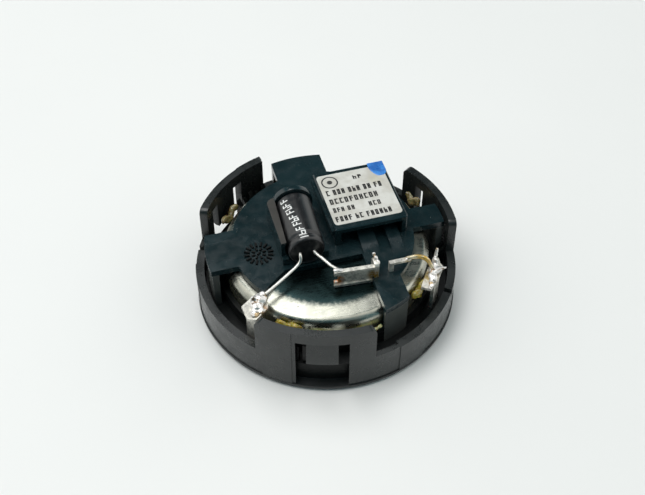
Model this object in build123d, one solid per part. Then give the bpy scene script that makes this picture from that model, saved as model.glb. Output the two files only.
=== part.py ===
from build123d import *
import os
from math import cos, hypot, radians, sin, sqrt

# Car tweeter, lying on its front face. Millimetres, +Z towards the rear side,
# origin on the speaker axis in the plane of the front face. Angles are in
# degrees about +Z, counted from +X. +Y is the side that the connector opens to.


def polar(radius, angle, z=0.0):
    return (radius * cos(radians(angle)), radius * sin(radians(angle)), z)


# --- outer housing and bezel -------------------------------------------------
BEZEL_RADIUS = 24.1
BEZEL_HEIGHT = 1.2
BEZEL_EDGE = 0.8
WALL_RADIUS = 23.9
WALL_THICKNESS = 1.45
PAD_RADIUS = 24.02          # shallow pads on the outside of the wall
PAD_HALF_ANGLE = 6.6
PAD_FIRST_ANGLE = -6.9
PAD_COUNT = 6
LOW_RIM = 7.7               # height of the wall between its tall sectors
TALL_RIM = 15.0
TALL_SECTORS = ((-10.5, 32.5), (107.0, 151.0), (223.5, 274.8))
RIM_NOTCH_ANGLES = (-35.0, 157.0)
RIM_NOTCH_WIDTH = 0.9
RIM_NOTCH_DEPTH = 1.1
RIM_STEP_SECTORS = ((275.6, 286.4), (35.6, 46.4), (152.0, 156.0))
RIM_STEP_DEPTH = 0.7
RIM_STEP_WIDTH = 0.75
CORNER_RADIUS = 1.1         # rounded upper corners of the tall sectors

# --- windows and snap tongues ------------------------------------------------
WINDOW_ANGLES = (12.4, 132.4, 252.4)
WINDOW_WIDTH = 9.2
WINDOW_TOP = 12.7
TONGUE_HALF_ANGLE = 6.6
TONGUE_END = 6.8
TONGUE_SHOULDER = 7.5
TONGUE_INNER = 22.5
TONGUE_ROOT_RADIUS = 23.5
TONGUE_TIP_RADIUS = 24.0
TONGUE_FLAT = 0.8           # height of its outermost band
TONGUE_LEAD_IN = 0.7

# --- bezel inside, grille and rings behind it --------------------------------
OPENING_RADIUS = 17.0
GRILLE_RADIUS = 18.1
GRILLE_FRONT = 0.5
GRILLE_REAR = 1.0
HOLE_RADIUS = 0.7
HOLE_PITCH = 2.1
HOLE_FIELD_RADIUS = 16.0
UPSTAND_INNER = 21.35
UPSTAND_OUTER = 22.3
SPACER_INNER = 16.9
GASKET_INNER = 14.0
GASKET_OUTER = 15.2

# --- face plate --------------------------------------------------------------
PLATE_RADIUS = 22.3
PLATE_FRONT = 3.4
PLATE_REAR = 5.2
LIP_FRONT = 4.6
LIP_INNER = 13.4
LIP_OUTER = 15.4
COLLAR_INNER = 18.85
COLLAR_OUTER = 19.8
COLLAR_TOP = 8.0
TOOTH_COUNT = 5
TOOTH_STEP_ANGLE = 4.0
TOOTH_FIRST_ANGLE = -24.0   # from the window beside them
TOOTH_INNER = 21.0
TOOTH_OUTER = 21.9
TOOTH_TOPS = (9.6, 9.0)
TOOTH_SLOPE = 1.2
TOOTH_HALF_ANGLE = 1.1

# --- motor -------------------------------------------------------------------
CUP_RADIUS = 18.75
CUP_INNER = 17.15
CUP_TOP = 12.8
CUP_FLOOR = 1.6
CUP_FLAT_RADIUS = 14.2
CUP_SLOPE_DROP = 0.6
CUP_BLEND_RADIUS = 22.0     # between the flat and the slope round it
CUP_CORNER_RADIUS = 1.5
CUP_INNER_EDGE = 1.6
POLE_THICKNESS = 2.0
POLE_RING_INNER = 10.8
POLE_PLATE_RADIUS = 9.7
MAGNET_RADIUS = 8.9
PAD_FELT_RADIUS = 7.5
PAD_FELT_FRONT = 4.0

# --- diaphragm ---------------------------------------------------------------
DOME_EDGE = 9.95
DOME_FLANGE = 10.9
DOME_BASE = 4.3
DOME_HEIGHT = 2.8
DOME_SHEET = 0.15
FORMER_INNER = 10.0
FORMER_OUTER = 10.1
FORMER_TOP = 7.6
COIL_OUTER = 10.42
COIL_LOW = 4.9
COIL_HIGH = 7.5
ROLL_CENTRE = 12.1
ROLL_RADIUS = 1.2
SURROUND_INNER = 10.25

# --- rear cover --------------------------------------------------------------
COVER_BOTTOM = CUP_TOP
COVER_TOP = 14.0
COVER_RADIUS = 17.0
COVER_SMALL_RADIUS = 15.9   # on the side between the front and right arms
ARM_REACH = 21.95
FRONT_ARM_REACH = 20.0
LEG_THICKNESS = 1.35
FRONT_LEG_THICKNESS = 1.1
LEG_END = 3.5
LEG_STEP = 0.2              # the arms overhang their legs by this much
LEG_CLEARANCE = 0.1
BACK_ARM = (-4.85, 4.85)    # span across the arm, along X
FRONT_ARM = (5.0, 9.9)
LEFT_ARM = (-2.87, 6.08)    # span across the arm, along Y
RIGHT_ARM = (-2.4, 2.45)
CUTOUT_BACK = -5.9
CUTOUT_LEFT = -9.2
CUTOUT_EDGE = (-14.6, -10.2)

# --- connector shell ---------------------------------------------------------
SHELL_X = (0.9, 14.5)
SHELL_Y = (-2.85, 12.3)
SHELL_TOP = 18.0
SHELL_WALL = 1.1
SHELL_CORNER = 0.4
SHELL_TOP_EDGE = 0.25
ROOF_THICKNESS = 1.0
MOUTH_FLOOR = 13.3
PARTITION = (-0.5, 0.8)
LEDGE_WIDTH = 0.45
LEDGE_INSET = 0.6
LEDGE_Z = (16.2, 17.3)
RAMPS = ((5.3, 8.3, -6.5), (10.4, 12.7, -7.6))  # left, right and front end of each
RAMP_HEIGHT = 1.2
RAMP_BREAK = (2.4, 0.9)     # length of its upper, flatter part and the height there

# --- capacitor and its cradle ------------------------------------------------
CAP_X = -4.75
CAP_Z = 17.3
CAP_YAW = -3.0
CAP_FRONT = -5.6
CAP_BACK = 6.2
CAN_RADIUS = 3.1
SLEEVE_RADIUS = 3.25
GROOVE_DEPTH = 0.35
FILM = 0.1
GROOVE_AT = 1.5             # from the open end of the can
BUNG_RADIUS = 2.6
BUNG_DEPTH = 1.1
LEAD_OFFSET = 1.25
LEAD_RADIUS = 0.3
LEAD_STRAIGHT = 0.7         # free length before its first bend
LEAD_BENDS = (0.5, 0.7)
LEFT_LEAD_ROUTE = ((-6.9, -6.9, 15.6), (-13.8, -10.7, 14.65))
RIGHT_LEAD_ROUTE = ((-3.2, -7.4, 16.6), (-1.3, -10.25, 16.55))
CAN_EDGE = 0.3
GROOVE_HALF = (0.15, 0.5)   # half widths of the groove's floor and of its mouth
BUNG_RECESS = 0.3
BUNG_EDGE = 0.25
FILM_LAP = 0.7              # how far the film reaches over the can's back
CRADLE_INNER = 3.6
CRADLE_X = (-9.25, -0.9)
CRADLE_FRONT = -4.9
CRADLE_END = (6.35, 7.4)
CRADLE_LIP = 15.5           # height that the cradle's right side reaches
CRADLE_WALL_FRONT = -4.0
CRADLE_WALL_TOP = 18.7      # height that its thicker left wall reaches
CRADLE_WALL_CORNER = 1.4
END_WALL_RADIUS = 3.65

# --- contacts, lugs and wires ------------------------------------------------
SHEET = 0.8                 # thickness of the contact strip
CONTACT_PINS_X = (6.1, 8.64)
PIN_SIZE = 0.63
PIN_Z = 15.2
PIN_TIP = 9.5
PIN_BEND = -0.4
RUN_Z = (13.05, 13.65)       # inside the cover plate
CONTACT_LINE = -11.6
BLADE_LEFT = -1.75
BLADE_TILT = -4.5
BLADE_Z = (12.95, 16.7)
CHANNEL_LIP = 0.55
CHANNEL_DEPTH = 0.25
CHANNEL_END = 0.7
RISER_TOP = 17.3
RISER_DEPTH = 2.1
RISER_ROUND = 0.6
BLADE_NOTCH = 0.7           # slot at the left end of the blade
BLADE_NOTCH_Z = (14.1, 15.6)
STRIP_RIGHT = 12.2
STRIP_FRONT = -11.4
STRIP_LOW = 15.6
STRIP_THICKNESS = 0.5
LUG_SHEET = 0.6
LUG_WIDTH = 3.4
LUG_LEG_RADIUS = 20.65
LUG_END = 3.05
LEFT_LUG_ANGLE = 218.0
LEFT_LUG_TOP = 13.4
RIGHT_LUG_ANGLE = -38.0
RIGHT_LUG_TOP = 12.6
LEFT_PAD = (                # radial and crosswise places of its corners
    (18.2, -0.3), (19.0, -1.9), (21.8, -2.0), (23.4, 0.6), (22.6, 1.9), (19.4, 1.9), (18.4, 1.2))
RIGHT_PAD = (
    (19.6, -4.4), (21.4, -4.2), (21.8, -1.0), (21.7, 1.6), (20.6, 2.5), (19.5, 2.1), (19.3, -1.0))
EAR_PLACE = (20.4, 1.6)
EAR_RADII = (0.9, 0.35)
EAR_HEIGHT = 1.9
LEAD_OUT_RADIUS = 0.15
LEAD_OUT_Z = 3.2
LEAD_OUT_SLOT = 0.8
LEAD_OUT_SLOT_Z = (2.8, 5.0)
LEAD_OUT_FOOT = (14.9, 14.5, 13.6)          # radii of its bends and its end
LEAD_OUT_END_Z = 4.2
LINK_RADIUS = 0.4
LINK_BEND_X = 14.3
LINK_BEND_RADIUS = 1.8
LINK_END = (19.7, -38.4, 14.0)              # radius, angle and height

# --- solder and glue ---------------------------------------------------------
SOLDER_MASSES = (           # centre, radius and level of the flat that it sits on
    (polar(19.2, LEFT_LUG_ANGLE - 0.5, 14.35), 1.75, LEFT_LUG_TOP + LUG_SHEET),
    (polar(20.0, RIGHT_LUG_ANGLE, 13.7), 1.3, RIGHT_LUG_TOP + LUG_SHEET),
    ((-1.25, -10.35, 16.65), 0.6, COVER_TOP),
    ((STRIP_RIGHT + 0.1, STRIP_FRONT + SHEET / 2, STRIP_LOW + STRIP_THICKNESS / 2), 0.7, COVER_TOP),
)
GLUE_WIDTH = 1.2
GLUE_HEIGHT = 2.4
CUP_GLUE_SECTORS = ((222.5, 238.0), (-50.5, -46.5))
TONGUE_GLUE_SECTORS = ((129.0, 138.5), (17.5, 26.0))
TONGUE_GLUE_RADIUS = 20.6
TONGUE_GLUE_Z = (9.6, 11.4)

# --- label and paint ---------------------------------------------------------
LABEL_X = (1.2, 13.9)
LABEL_Y = (-1.8, 11.2)
LABEL_THICKNESS = 0.1
LABEL_CORNER = 0.7
PAINT_THICKNESS = 0.16
PAINT_OUTLINE = ((11.1, 11.6), (14.1, 12.0), (14.25, 8.3), (13.0, 8.9), (11.5, 9.8))

LOW_ALIGN = (Align.CENTER, Align.CENTER, Align.MIN)
CORNER_ALIGN = (Align.MIN, Align.MIN, Align.MIN)
REACH = 40.0                # longer than any piece, for cutting tools
OVERLAP = 0.2               # how far shapes that are joined run into each other


def disc(radius, low, high):
    return Pos(0, 0, low) * Cylinder(radius, high - low, align=LOW_ALIGN)


def ring(inner, outer, low, high):
    return disc(outer, low, high) - disc(inner, low, high)


def block(x_span, y_span, z_span):
    size = [span[1] - span[0] for span in (x_span, y_span, z_span)]
    return Pos(x_span[0], y_span[0], z_span[0]) * Box(*size, align=CORNER_ALIGN)


def turned(profile, start, sweep):
    """Revolve (radius, height) points about the speaker axis."""
    face = Plane.XZ * make_face(Polyline(*profile, close=True))
    return Rot(0, 0, start) * revolve(face, Axis.Z, revolution_arc=sweep)


def ring_sector(inner, outer, start, end, low, high):
    profile = ((inner, low), (outer, low), (outer, high), (inner, high))
    return turned(profile, start, end - start)


def tubes(points, radius, bends):
    """Round wire through the given points, with one bend radius per corner."""
    path = FilletPolyline(*points, radius=bends)
    section = Plane(path @ 0, z_dir=path % 0) * Circle(radius)
    return sweep(section, path)


# --- housing -----------------------------------------------------------------
def make_tongue(angle):
    """Snap tongue that hangs in a window and leans outward to its shoulder."""
    profile = (
        (TONGUE_INNER, WINDOW_TOP + OVERLAP),
        (TONGUE_ROOT_RADIUS, WINDOW_TOP + OVERLAP),
        (TONGUE_ROOT_RADIUS, WINDOW_TOP),
        (TONGUE_TIP_RADIUS, TONGUE_SHOULDER + TONGUE_FLAT),
        (TONGUE_TIP_RADIUS, TONGUE_SHOULDER),
        (TONGUE_TIP_RADIUS - TONGUE_LEAD_IN, TONGUE_END),
        (TONGUE_INNER, TONGUE_END),
    )
    return turned(profile, angle - TONGUE_HALF_ANGLE, 2 * TONGUE_HALF_ANGLE)


def round_tall_corners(body):
    """Round the two upper corners of each tall sector, seen from outside."""
    corners = []
    for start, end in TALL_SECTORS:
        for angle in (start, end):
            here = Vector(*polar(WALL_RADIUS - WALL_THICKNESS / 2, angle, TALL_RIM))
            corners += [
                edge for edge in body.edges().filter_by(GeomType.LINE)
                if (edge.center() - here).length < 0.2
            ]
    return fillet(corners, CORNER_RADIUS)


def make_housing():
    inner = WALL_RADIUS - WALL_THICKNESS
    body = ring(inner, WALL_RADIUS, BEZEL_HEIGHT, LOW_RIM)
    for start, end in TALL_SECTORS:
        body += ring_sector(inner, WALL_RADIUS, start, end, LOW_RIM, TALL_RIM)
    for index in range(PAD_COUNT):
        middle = PAD_FIRST_ANGLE + index * 360 / PAD_COUNT
        top = LOW_RIM if index % 2 else TALL_RIM
        body += ring_sector(
            WALL_RADIUS - WALL_THICKNESS / 2, PAD_RADIUS, middle - PAD_HALF_ANGLE,
            middle + PAD_HALF_ANGLE, BEZEL_HEIGHT, top)
    for angle in WINDOW_ANGLES:
        window = block(
            (inner - 1, PAD_RADIUS + 1), (-WINDOW_WIDTH / 2, WINDOW_WIDTH / 2),
            (BEZEL_HEIGHT - 0.1, WINDOW_TOP))
        body -= Rot(0, 0, angle) * window
        body += make_tongue(angle)
    for angle in RIM_NOTCH_ANGLES:
        cutter = block(
            (inner - 1, PAD_RADIUS + 1), (-RIM_NOTCH_WIDTH / 2, RIM_NOTCH_WIDTH / 2),
            (LOW_RIM - RIM_NOTCH_DEPTH, LOW_RIM + 1))
        body -= Rot(0, 0, angle) * cutter
    for start, end in RIM_STEP_SECTORS:
        body -= ring_sector(
            inner - 1, inner + RIM_STEP_WIDTH, start, end,
            LOW_RIM - RIM_STEP_DEPTH, LOW_RIM + 1)
    return round_tall_corners(body)


def make_front_bezel():
    profile = (
        (OPENING_RADIUS + 0.5, 0),
        (BEZEL_RADIUS - BEZEL_EDGE, 0),
        (BEZEL_RADIUS - BEZEL_EDGE * 0.3, BEZEL_EDGE * 0.3),
        (BEZEL_RADIUS, BEZEL_EDGE),
        (BEZEL_RADIUS, BEZEL_HEIGHT),
        (UPSTAND_OUTER, BEZEL_HEIGHT),
        (UPSTAND_OUTER, PLATE_FRONT),
        (UPSTAND_INNER, PLATE_FRONT),
        (UPSTAND_INNER, GRILLE_REAR),
        (GRILLE_RADIUS + 0.05, GRILLE_REAR),
        (GRILLE_RADIUS + 0.05, GRILLE_FRONT),
        (OPENING_RADIUS, GRILLE_FRONT),
    )
    return turned(profile, 0, 360)


def make_grille():
    plate = disc(GRILLE_RADIUS, GRILLE_FRONT, GRILLE_REAR)
    row_step = HOLE_PITCH * sqrt(3) / 2
    rows = int(HOLE_FIELD_RADIUS / row_step) + 1
    holes = []
    for row in range(-rows, rows + 1):
        shift = HOLE_PITCH / 2 if row % 2 else 0.0
        for column in range(-rows, rows + 1):
            x, y = column * HOLE_PITCH + shift, row * row_step
            if hypot(x, y) < HOLE_FIELD_RADIUS - HOLE_RADIUS:
                holes.append(Pos(x, y, 0) * disc(HOLE_RADIUS, 0, GRILLE_REAR + 1))
    return plate - holes


def lead_out_slot(angle):
    half = LEAD_OUT_SLOT / 2
    return Rot(0, 0, angle) * block((GASKET_INNER - 1, GRILLE_RADIUS + 1), (-half, half), LEAD_OUT_SLOT_Z)


def make_spacer_ring():
    body = ring(SPACER_INNER, GRILLE_RADIUS, GRILLE_REAR, PLATE_FRONT)
    return body - lead_out_slot(LEFT_LUG_ANGLE) - lead_out_slot(RIGHT_LUG_ANGLE)


def make_foam_gasket():
    body = ring(GASKET_INNER, GASKET_OUTER, GRILLE_REAR, LIP_FRONT - DOME_SHEET)
    return body - lead_out_slot(LEFT_LUG_ANGLE) - lead_out_slot(RIGHT_LUG_ANGLE)


# --- rear cover --------------------------------------------------------------
def arm_spans():
    """Each arm as its X span, Y span, reach and leg thickness."""
    return (
        (BACK_ARM, (10, REACH), ARM_REACH, LEG_THICKNESS),
        ((-REACH, -12), LEFT_ARM, ARM_REACH, LEG_THICKNESS),
        ((12, REACH), RIGHT_ARM, ARM_REACH, LEG_THICKNESS),
        (FRONT_ARM, (-REACH, -7), FRONT_ARM_REACH, FRONT_LEG_THICKNESS),
    )


def make_legs(grow):
    legs = Part()
    for x_span, y_span, reach, thickness in arm_spans():
        x_wide = (x_span[0] - grow, x_span[1] + grow)
        y_wide = (y_span[0] - grow, y_span[1] + grow)
        curve = ring(reach - thickness - grow, reach - LEG_STEP + grow, LEG_END - grow, COVER_TOP)
        legs += curve & block(x_wide, y_wide, (0, COVER_TOP))
    return legs


def make_face_plate():
    body = ring(LIP_OUTER, PLATE_RADIUS, PLATE_FRONT, PLATE_REAR)
    body += ring(LIP_INNER, LIP_OUTER, LIP_FRONT, PLATE_REAR)
    body += ring(COLLAR_INNER, COLLAR_OUTER, PLATE_REAR, COLLAR_TOP)
    for window in WINDOW_ANGLES:
        for index in range(TOOTH_COUNT):
            angle = window + TOOTH_FIRST_ANGLE + index * TOOTH_STEP_ANGLE
            top = TOOTH_TOPS[index % len(TOOTH_TOPS)]
            body += turned(
                ((TOOTH_INNER, PLATE_REAR), (TOOTH_OUTER, PLATE_REAR), (TOOTH_OUTER, top),
                 (TOOTH_INNER, top - TOOTH_SLOPE)),
                angle - TOOTH_HALF_ANGLE, 2 * TOOTH_HALF_ANGLE)
    body -= make_legs(LEG_CLEARANCE)
    for angle in (LEFT_LUG_ANGLE, RIGHT_LUG_ANGLE):
        body -= lug_leg(angle, COLLAR_TOP, LEG_CLEARANCE)
    return body


def make_cover_plate():
    """Plate on the cup: a disc with a smaller radius on one side and a cut-out."""
    level = (COVER_BOTTOM, COVER_TOP)
    wide = disc(COVER_RADIUS, *level)
    right_front = block((0, REACH), (-REACH, RIGHT_ARM[0]), level)
    plate = wide - right_front + (disc(COVER_SMALL_RADIUS, *level) & right_front)
    for x_span, y_span, reach, _ in arm_spans():
        plate += disc(reach, *level) & block(x_span, y_span, level)
    outline = Polyline(
        (CUTOUT_LEFT, CUTOUT_BACK), CUTOUT_EDGE, (CUTOUT_EDGE[0], -REACH),
        (FRONT_ARM[0], -REACH), (FRONT_ARM[0], CUTOUT_BACK), close=True)
    return plate - Pos(0, 0, COVER_BOTTOM) * extrude(make_face(outline), COVER_TOP - COVER_BOTTOM)


def make_connector_shell():
    """Hollow shell with its mouth towards +Y and a roofed recess in front."""
    body = block(SHELL_X, SHELL_Y, (COVER_BOTTOM, SHELL_TOP))
    edges = body.edges().filter_by(Axis.Z)
    body = fillet(edges, SHELL_CORNER)
    body = chamfer(body.faces().sort_by(Axis.Z)[-1].edges(), SHELL_TOP_EDGE)
    inner_x = (SHELL_X[0] + SHELL_WALL, SHELL_X[1] - SHELL_WALL)
    under_roof = SHELL_TOP - ROOF_THICKNESS
    body -= block(inner_x, (PARTITION[1], REACH), (MOUTH_FLOOR, under_roof))
    body -= block((inner_x[0], inner_x[1]), (-REACH, PARTITION[0]), (COVER_TOP, under_roof))
    ledge_y = (SHELL_Y[0] + LEDGE_INSET, SHELL_Y[1] - LEDGE_INSET)
    body += block((SHELL_X[0] - LEDGE_WIDTH, SHELL_X[0] + OVERLAP), ledge_y, LEDGE_Z)
    return body


def make_ramp(left, right, front):
    """Sloping guide for a contact, from the partition down to the plate."""
    back, low = PARTITION[0] + OVERLAP, COVER_TOP - OVERLAP
    side = Polyline(
        (back, low), (back, COVER_TOP + RAMP_HEIGHT),
        (PARTITION[0] - RAMP_BREAK[0], COVER_TOP + RAMP_BREAK[1]), (front, COVER_TOP),
        (front, low), close=True)
    return Pos(left, 0, 0) * extrude(Plane.YZ * make_face(side), right - left)


def make_cradle():
    """Trough for the capacitor: high wall on its left, low lip, rounded end wall."""
    low = COVER_TOP - OVERLAP
    along_axis = Rot(-90, 0, 0)
    hollow = Pos(0, CRADLE_FRONT - 1, 0) * along_axis * Cylinder(
        CRADLE_INNER, CRADLE_END[0] - CRADLE_FRONT + 1, align=LOW_ALIGN)
    end_wall = Pos(0, CRADLE_END[0], 0) * along_axis * Cylinder(
        END_WALL_RADIUS, CRADLE_END[1] - CRADLE_END[0], align=LOW_ALIGN)
    wall = block((CRADLE_X[0], CAP_X), (CRADLE_WALL_FRONT, CRADLE_END[1]), (low, CRADLE_WALL_TOP))
    corner = wall.edges().filter_by(Axis.Z).group_by(Axis.X)[0].sort_by(Axis.Y)[-1]
    trough = block(CRADLE_X, (CRADLE_FRONT, CRADLE_END[1]), (low, CRADLE_LIP))
    return fillet(corner, CRADLE_WALL_CORNER) + trough + cap_place() * end_wall - cap_place() * hollow


def make_rear_cover(contacts):
    body = make_cover_plate()
    body += make_legs(0) & block((-REACH, REACH), (-REACH, REACH), (LEG_END, COVER_TOP - 0.5))
    body += make_connector_shell()
    for left, right, front in RAMPS:
        body += make_ramp(left, right, front)
    body += make_cradle()
    for contact in contacts:
        body -= contact
    return body


# --- motor and diaphragm -----------------------------------------------------
def make_yoke_cup():
    """Deep-drawn cup, flat in the middle and sloping a little to its round corner."""
    floor = CUP_TOP - CUP_FLOOR
    section = make_face(Polyline(
        (0, CUP_TOP), (CUP_FLAT_RADIUS, CUP_TOP), (CUP_RADIUS, CUP_TOP - CUP_SLOPE_DROP),
        (CUP_RADIUS, PLATE_REAR), (CUP_INNER, PLATE_REAR), (CUP_INNER, floor - CUP_INNER_EDGE),
        (CUP_INNER - CUP_INNER_EDGE, floor), (0, floor), close=True))
    corner = section.vertices().sort_by_distance((CUP_RADIUS, CUP_TOP))[0]
    section = fillet(corner, CUP_CORNER_RADIUS)
    bend = section.vertices().sort_by_distance((CUP_FLAT_RADIUS, CUP_TOP))[0]
    return revolve(Plane.XZ * fillet(bend, CUP_BLEND_RADIUS), Axis.Z)


def make_dome():
    """Shallow spherical cap towards the front, with a flat edge."""
    sphere = (DOME_EDGE ** 2 + DOME_HEIGHT ** 2) / (2 * DOME_HEIGHT)
    apex = DOME_BASE - DOME_HEIGHT
    half_way = DOME_EDGE / 2
    sag = sphere - sqrt(sphere ** 2 - half_way ** 2)
    outline = [
        ThreePointArc((0, apex), (half_way, apex + sag), (DOME_EDGE, DOME_BASE)),
        Line((DOME_EDGE, DOME_BASE), (DOME_FLANGE, DOME_BASE)),
        Line((DOME_FLANGE, DOME_BASE), (DOME_FLANGE, DOME_BASE + DOME_SHEET)),
        Line((DOME_FLANGE, DOME_BASE + DOME_SHEET), (DOME_EDGE, DOME_BASE + DOME_SHEET)),
        ThreePointArc(
            (DOME_EDGE, DOME_BASE + DOME_SHEET), (half_way, apex + sag + DOME_SHEET),
            (0, apex + DOME_SHEET)),
        Line((0, apex + DOME_SHEET), (0, apex)),
    ]
    return revolve(Plane.XZ * make_face(Curve() + outline), Axis.Z)


def make_surround():
    """Half roll between the dome's edge and the face plate's lip."""
    low = LIP_FRONT - DOME_SHEET
    start, end = ROLL_CENTRE - ROLL_RADIUS, ROLL_CENTRE + ROLL_RADIUS
    outline = [
        Line((SURROUND_INNER, low), (start, low)),
        ThreePointArc((start, low), (ROLL_CENTRE, low - ROLL_RADIUS), (end, low)),
        Line((end, low), (GASKET_OUTER, low)),
        Line((GASKET_OUTER, low), (GASKET_OUTER, LIP_FRONT)),
        Line((GASKET_OUTER, LIP_FRONT), (end - DOME_SHEET, LIP_FRONT)),
        ThreePointArc(
            (end - DOME_SHEET, LIP_FRONT), (ROLL_CENTRE, low - ROLL_RADIUS + DOME_SHEET),
            (start + DOME_SHEET, LIP_FRONT)),
        Line((start + DOME_SHEET, LIP_FRONT), (SURROUND_INNER, LIP_FRONT)),
        Line((SURROUND_INNER, LIP_FRONT), (SURROUND_INNER, low)),
    ]
    return revolve(Plane.XZ * make_face(Curve() + outline), Axis.Z)


# --- capacitor ---------------------------------------------------------------
def cap_place():
    """Where the capacitor lies: its axis along Y, turned a little about Z."""
    return Pos(CAP_X, 0, CAP_Z) * Rot(0, 0, CAP_YAW)


def along_cap(profile):
    """Revolve (radius, distance from the open end) points about the can's axis."""
    face = Plane.XZ * make_face(Polyline(*profile, close=True))
    return cap_place() * Pos(0, CAP_FRONT, 0) * Rot(-90, 0, 0) * revolve(face, Axis.Z)


def can_side(radius, depth):
    """Outline of the can's side from its open end to its closed end, with the crimp."""
    length = CAP_BACK - CAP_FRONT
    waist = radius - depth
    floor, mouth = GROOVE_HALF
    return [
        (radius - CAN_EDGE, 0.0), (radius, CAN_EDGE), (radius, GROOVE_AT - mouth), (waist, GROOVE_AT - floor),
        (waist, GROOVE_AT + floor), (radius, GROOVE_AT + mouth), (radius, length - CAN_EDGE),
        (radius - CAN_EDGE, length),
    ]


def make_capacitor_can():
    bottom = [(0, BUNG_DEPTH), (BUNG_RADIUS, BUNG_DEPTH), (BUNG_RADIUS, 0.0)]
    return along_cap([*bottom, *can_side(CAN_RADIUS, GROOVE_DEPTH), (0, CAP_BACK - CAP_FRONT)])


def make_capacitor_sleeve():
    """Film shrunk over the can's side and a little way over both of its ends."""
    length = CAP_BACK - CAP_FRONT
    inside = can_side(CAN_RADIUS, GROOVE_DEPTH)
    outside = can_side(SLEEVE_RADIUS, GROOVE_DEPTH)
    outside[0] = (CAN_RADIUS - FILM, -FILM)
    outside[-1] = (CAN_RADIUS - CAN_EDGE, length + FILM)
    front = [(BUNG_RADIUS + FILM / 2, 0.0), (BUNG_RADIUS + FILM / 2, -FILM)]
    back = [(CAN_RADIUS - CAN_EDGE - FILM_LAP, length + FILM), (CAN_RADIUS - CAN_EDGE - FILM_LAP, length)]
    return along_cap([*front, *outside, *back, *reversed(inside)])


def make_capacitor_bung(leads):
    body = along_cap((
        (0, BUNG_RECESS), (BUNG_RADIUS - BUNG_EDGE, BUNG_RECESS), (BUNG_RADIUS, BUNG_RECESS + BUNG_EDGE),
        (BUNG_RADIUS, BUNG_DEPTH), (0, BUNG_DEPTH)))
    for lead in leads:
        body -= lead
    return body


def make_capacitor_leads():
    root = CAP_FRONT + BUNG_DEPTH - 0.1
    spots = [
        tuple((cap_place() * Pos(side * LEAD_OFFSET, y, 0)).position)
        for side in (-1, 1) for y in (root, CAP_FRONT - LEAD_STRAIGHT)
    ]
    left = tubes((*spots[:2], *LEFT_LEAD_ROUTE), LEAD_RADIUS, LEAD_BENDS)
    right = tubes((*spots[2:], *RIGHT_LEAD_ROUTE), LEAD_RADIUS, LEAD_BENDS)
    return left, right


# --- contacts and lugs -------------------------------------------------------
def make_pin(x):
    """Pin of a contact, its bend down and its run inside the cover plate."""
    half = PIN_SIZE / 2
    low, high = RUN_Z
    pin = block((x - half, x + half), (PIN_BEND, PIN_TIP), (PIN_Z - half, PIN_Z + half))
    drop = block((x - half, x + half), (PIN_BEND, PIN_BEND + high - low), (low, PIN_Z + half))
    run = block((x - half, x + half), (CONTACT_LINE, PIN_BEND + 0.1), (low, high))
    return pin + drop + run


def make_contact_left():
    """Pin, a riser out of the front arm, and an upright channel to its left."""
    x = CONTACT_PINS_X[0]
    face, left = -SHEET / 2, BLADE_LEFT - x
    riser_y = (CONTACT_LINE + face, CONTACT_LINE + face + RISER_DEPTH)
    riser = block((x - SHEET, x), riser_y, (RUN_Z[0], RISER_TOP))
    riser = fillet(riser.edges().filter_by(Axis.X).sort_by(Axis.Z)[-2:], RISER_ROUND)
    blade = block((left, 0), (face, -face), BLADE_Z)
    blade -= block(
        (left - 1, -CHANNEL_END), (face - 1, face + CHANNEL_DEPTH),
        (BLADE_Z[0] + CHANNEL_LIP, BLADE_Z[1] - CHANNEL_LIP))
    blade -= block((left - 1, left + BLADE_NOTCH), (face - 1, 1), BLADE_NOTCH_Z)
    return make_pin(x) + riser + Pos(x, CONTACT_LINE, 0) * Rot(0, 0, BLADE_TILT) * blade


def make_contact_right():
    """Pin, a riser out of the front arm and a narrow strip to the right."""
    x = CONTACT_PINS_X[1]
    left, back, high = x - SHEET / 2, STRIP_FRONT + SHEET, STRIP_LOW + STRIP_THICKNESS
    riser = block((left, left + SHEET), (STRIP_FRONT, back), (RUN_Z[0], high))
    strip = block((left, STRIP_RIGHT), (STRIP_FRONT, back), (STRIP_LOW, high))
    return make_pin(x) + riser + strip


def lug_leg(angle, top, grow=0.0):
    """Upright strip of a lug in the gap between cup and wall."""
    half = LUG_WIDTH / 2 + grow
    inner = LUG_LEG_RADIUS - grow
    outer = LUG_LEG_RADIUS + LUG_SHEET + grow
    return Rot(0, 0, angle) * block((inner, outer), (-half, half), (LUG_END - grow, top))


def make_lug_left():
    """Leg with a flat pad at its top that reaches outward over the low rim."""
    pad = make_face(Polyline(*LEFT_PAD, close=True))
    top = Pos(0, 0, LEFT_LUG_TOP) * extrude(pad, LUG_SHEET)
    return lug_leg(LEFT_LUG_ANGLE, LEFT_LUG_TOP + OVERLAP) + Rot(0, 0, LEFT_LUG_ANGLE) * top


def make_lug_right():
    """Leg with a pad and a pointed ear that the link wire is soldered to."""
    pad = make_face(Polyline(*RIGHT_PAD, close=True))
    top = Pos(0, 0, RIGHT_LUG_TOP) * extrude(pad, LUG_SHEET)
    ear = Pos(*EAR_PLACE, RIGHT_LUG_TOP + OVERLAP) * Cone(*EAR_RADII, EAR_HEIGHT, align=LOW_ALIGN)
    turned_top = Rot(0, 0, RIGHT_LUG_ANGLE) * (top + ear)
    return lug_leg(RIGHT_LUG_ANGLE, RIGHT_LUG_TOP + OVERLAP) + turned_top


def make_lead_out(angle):
    """Thin wire from a lug's foot along the face plate to the surround's flange."""
    outer, inner, end = LEAD_OUT_FOOT
    points = (
        (LUG_LEG_RADIUS, 0, LEAD_OUT_Z), (outer, 0, LEAD_OUT_Z), (inner, 0, LEAD_OUT_END_Z),
        (end, 0, LEAD_OUT_END_Z))
    return Rot(0, 0, angle) * tubes(points, LEAD_OUT_RADIUS, [2 * LEAD_OUT_RADIUS] * 2)


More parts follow.
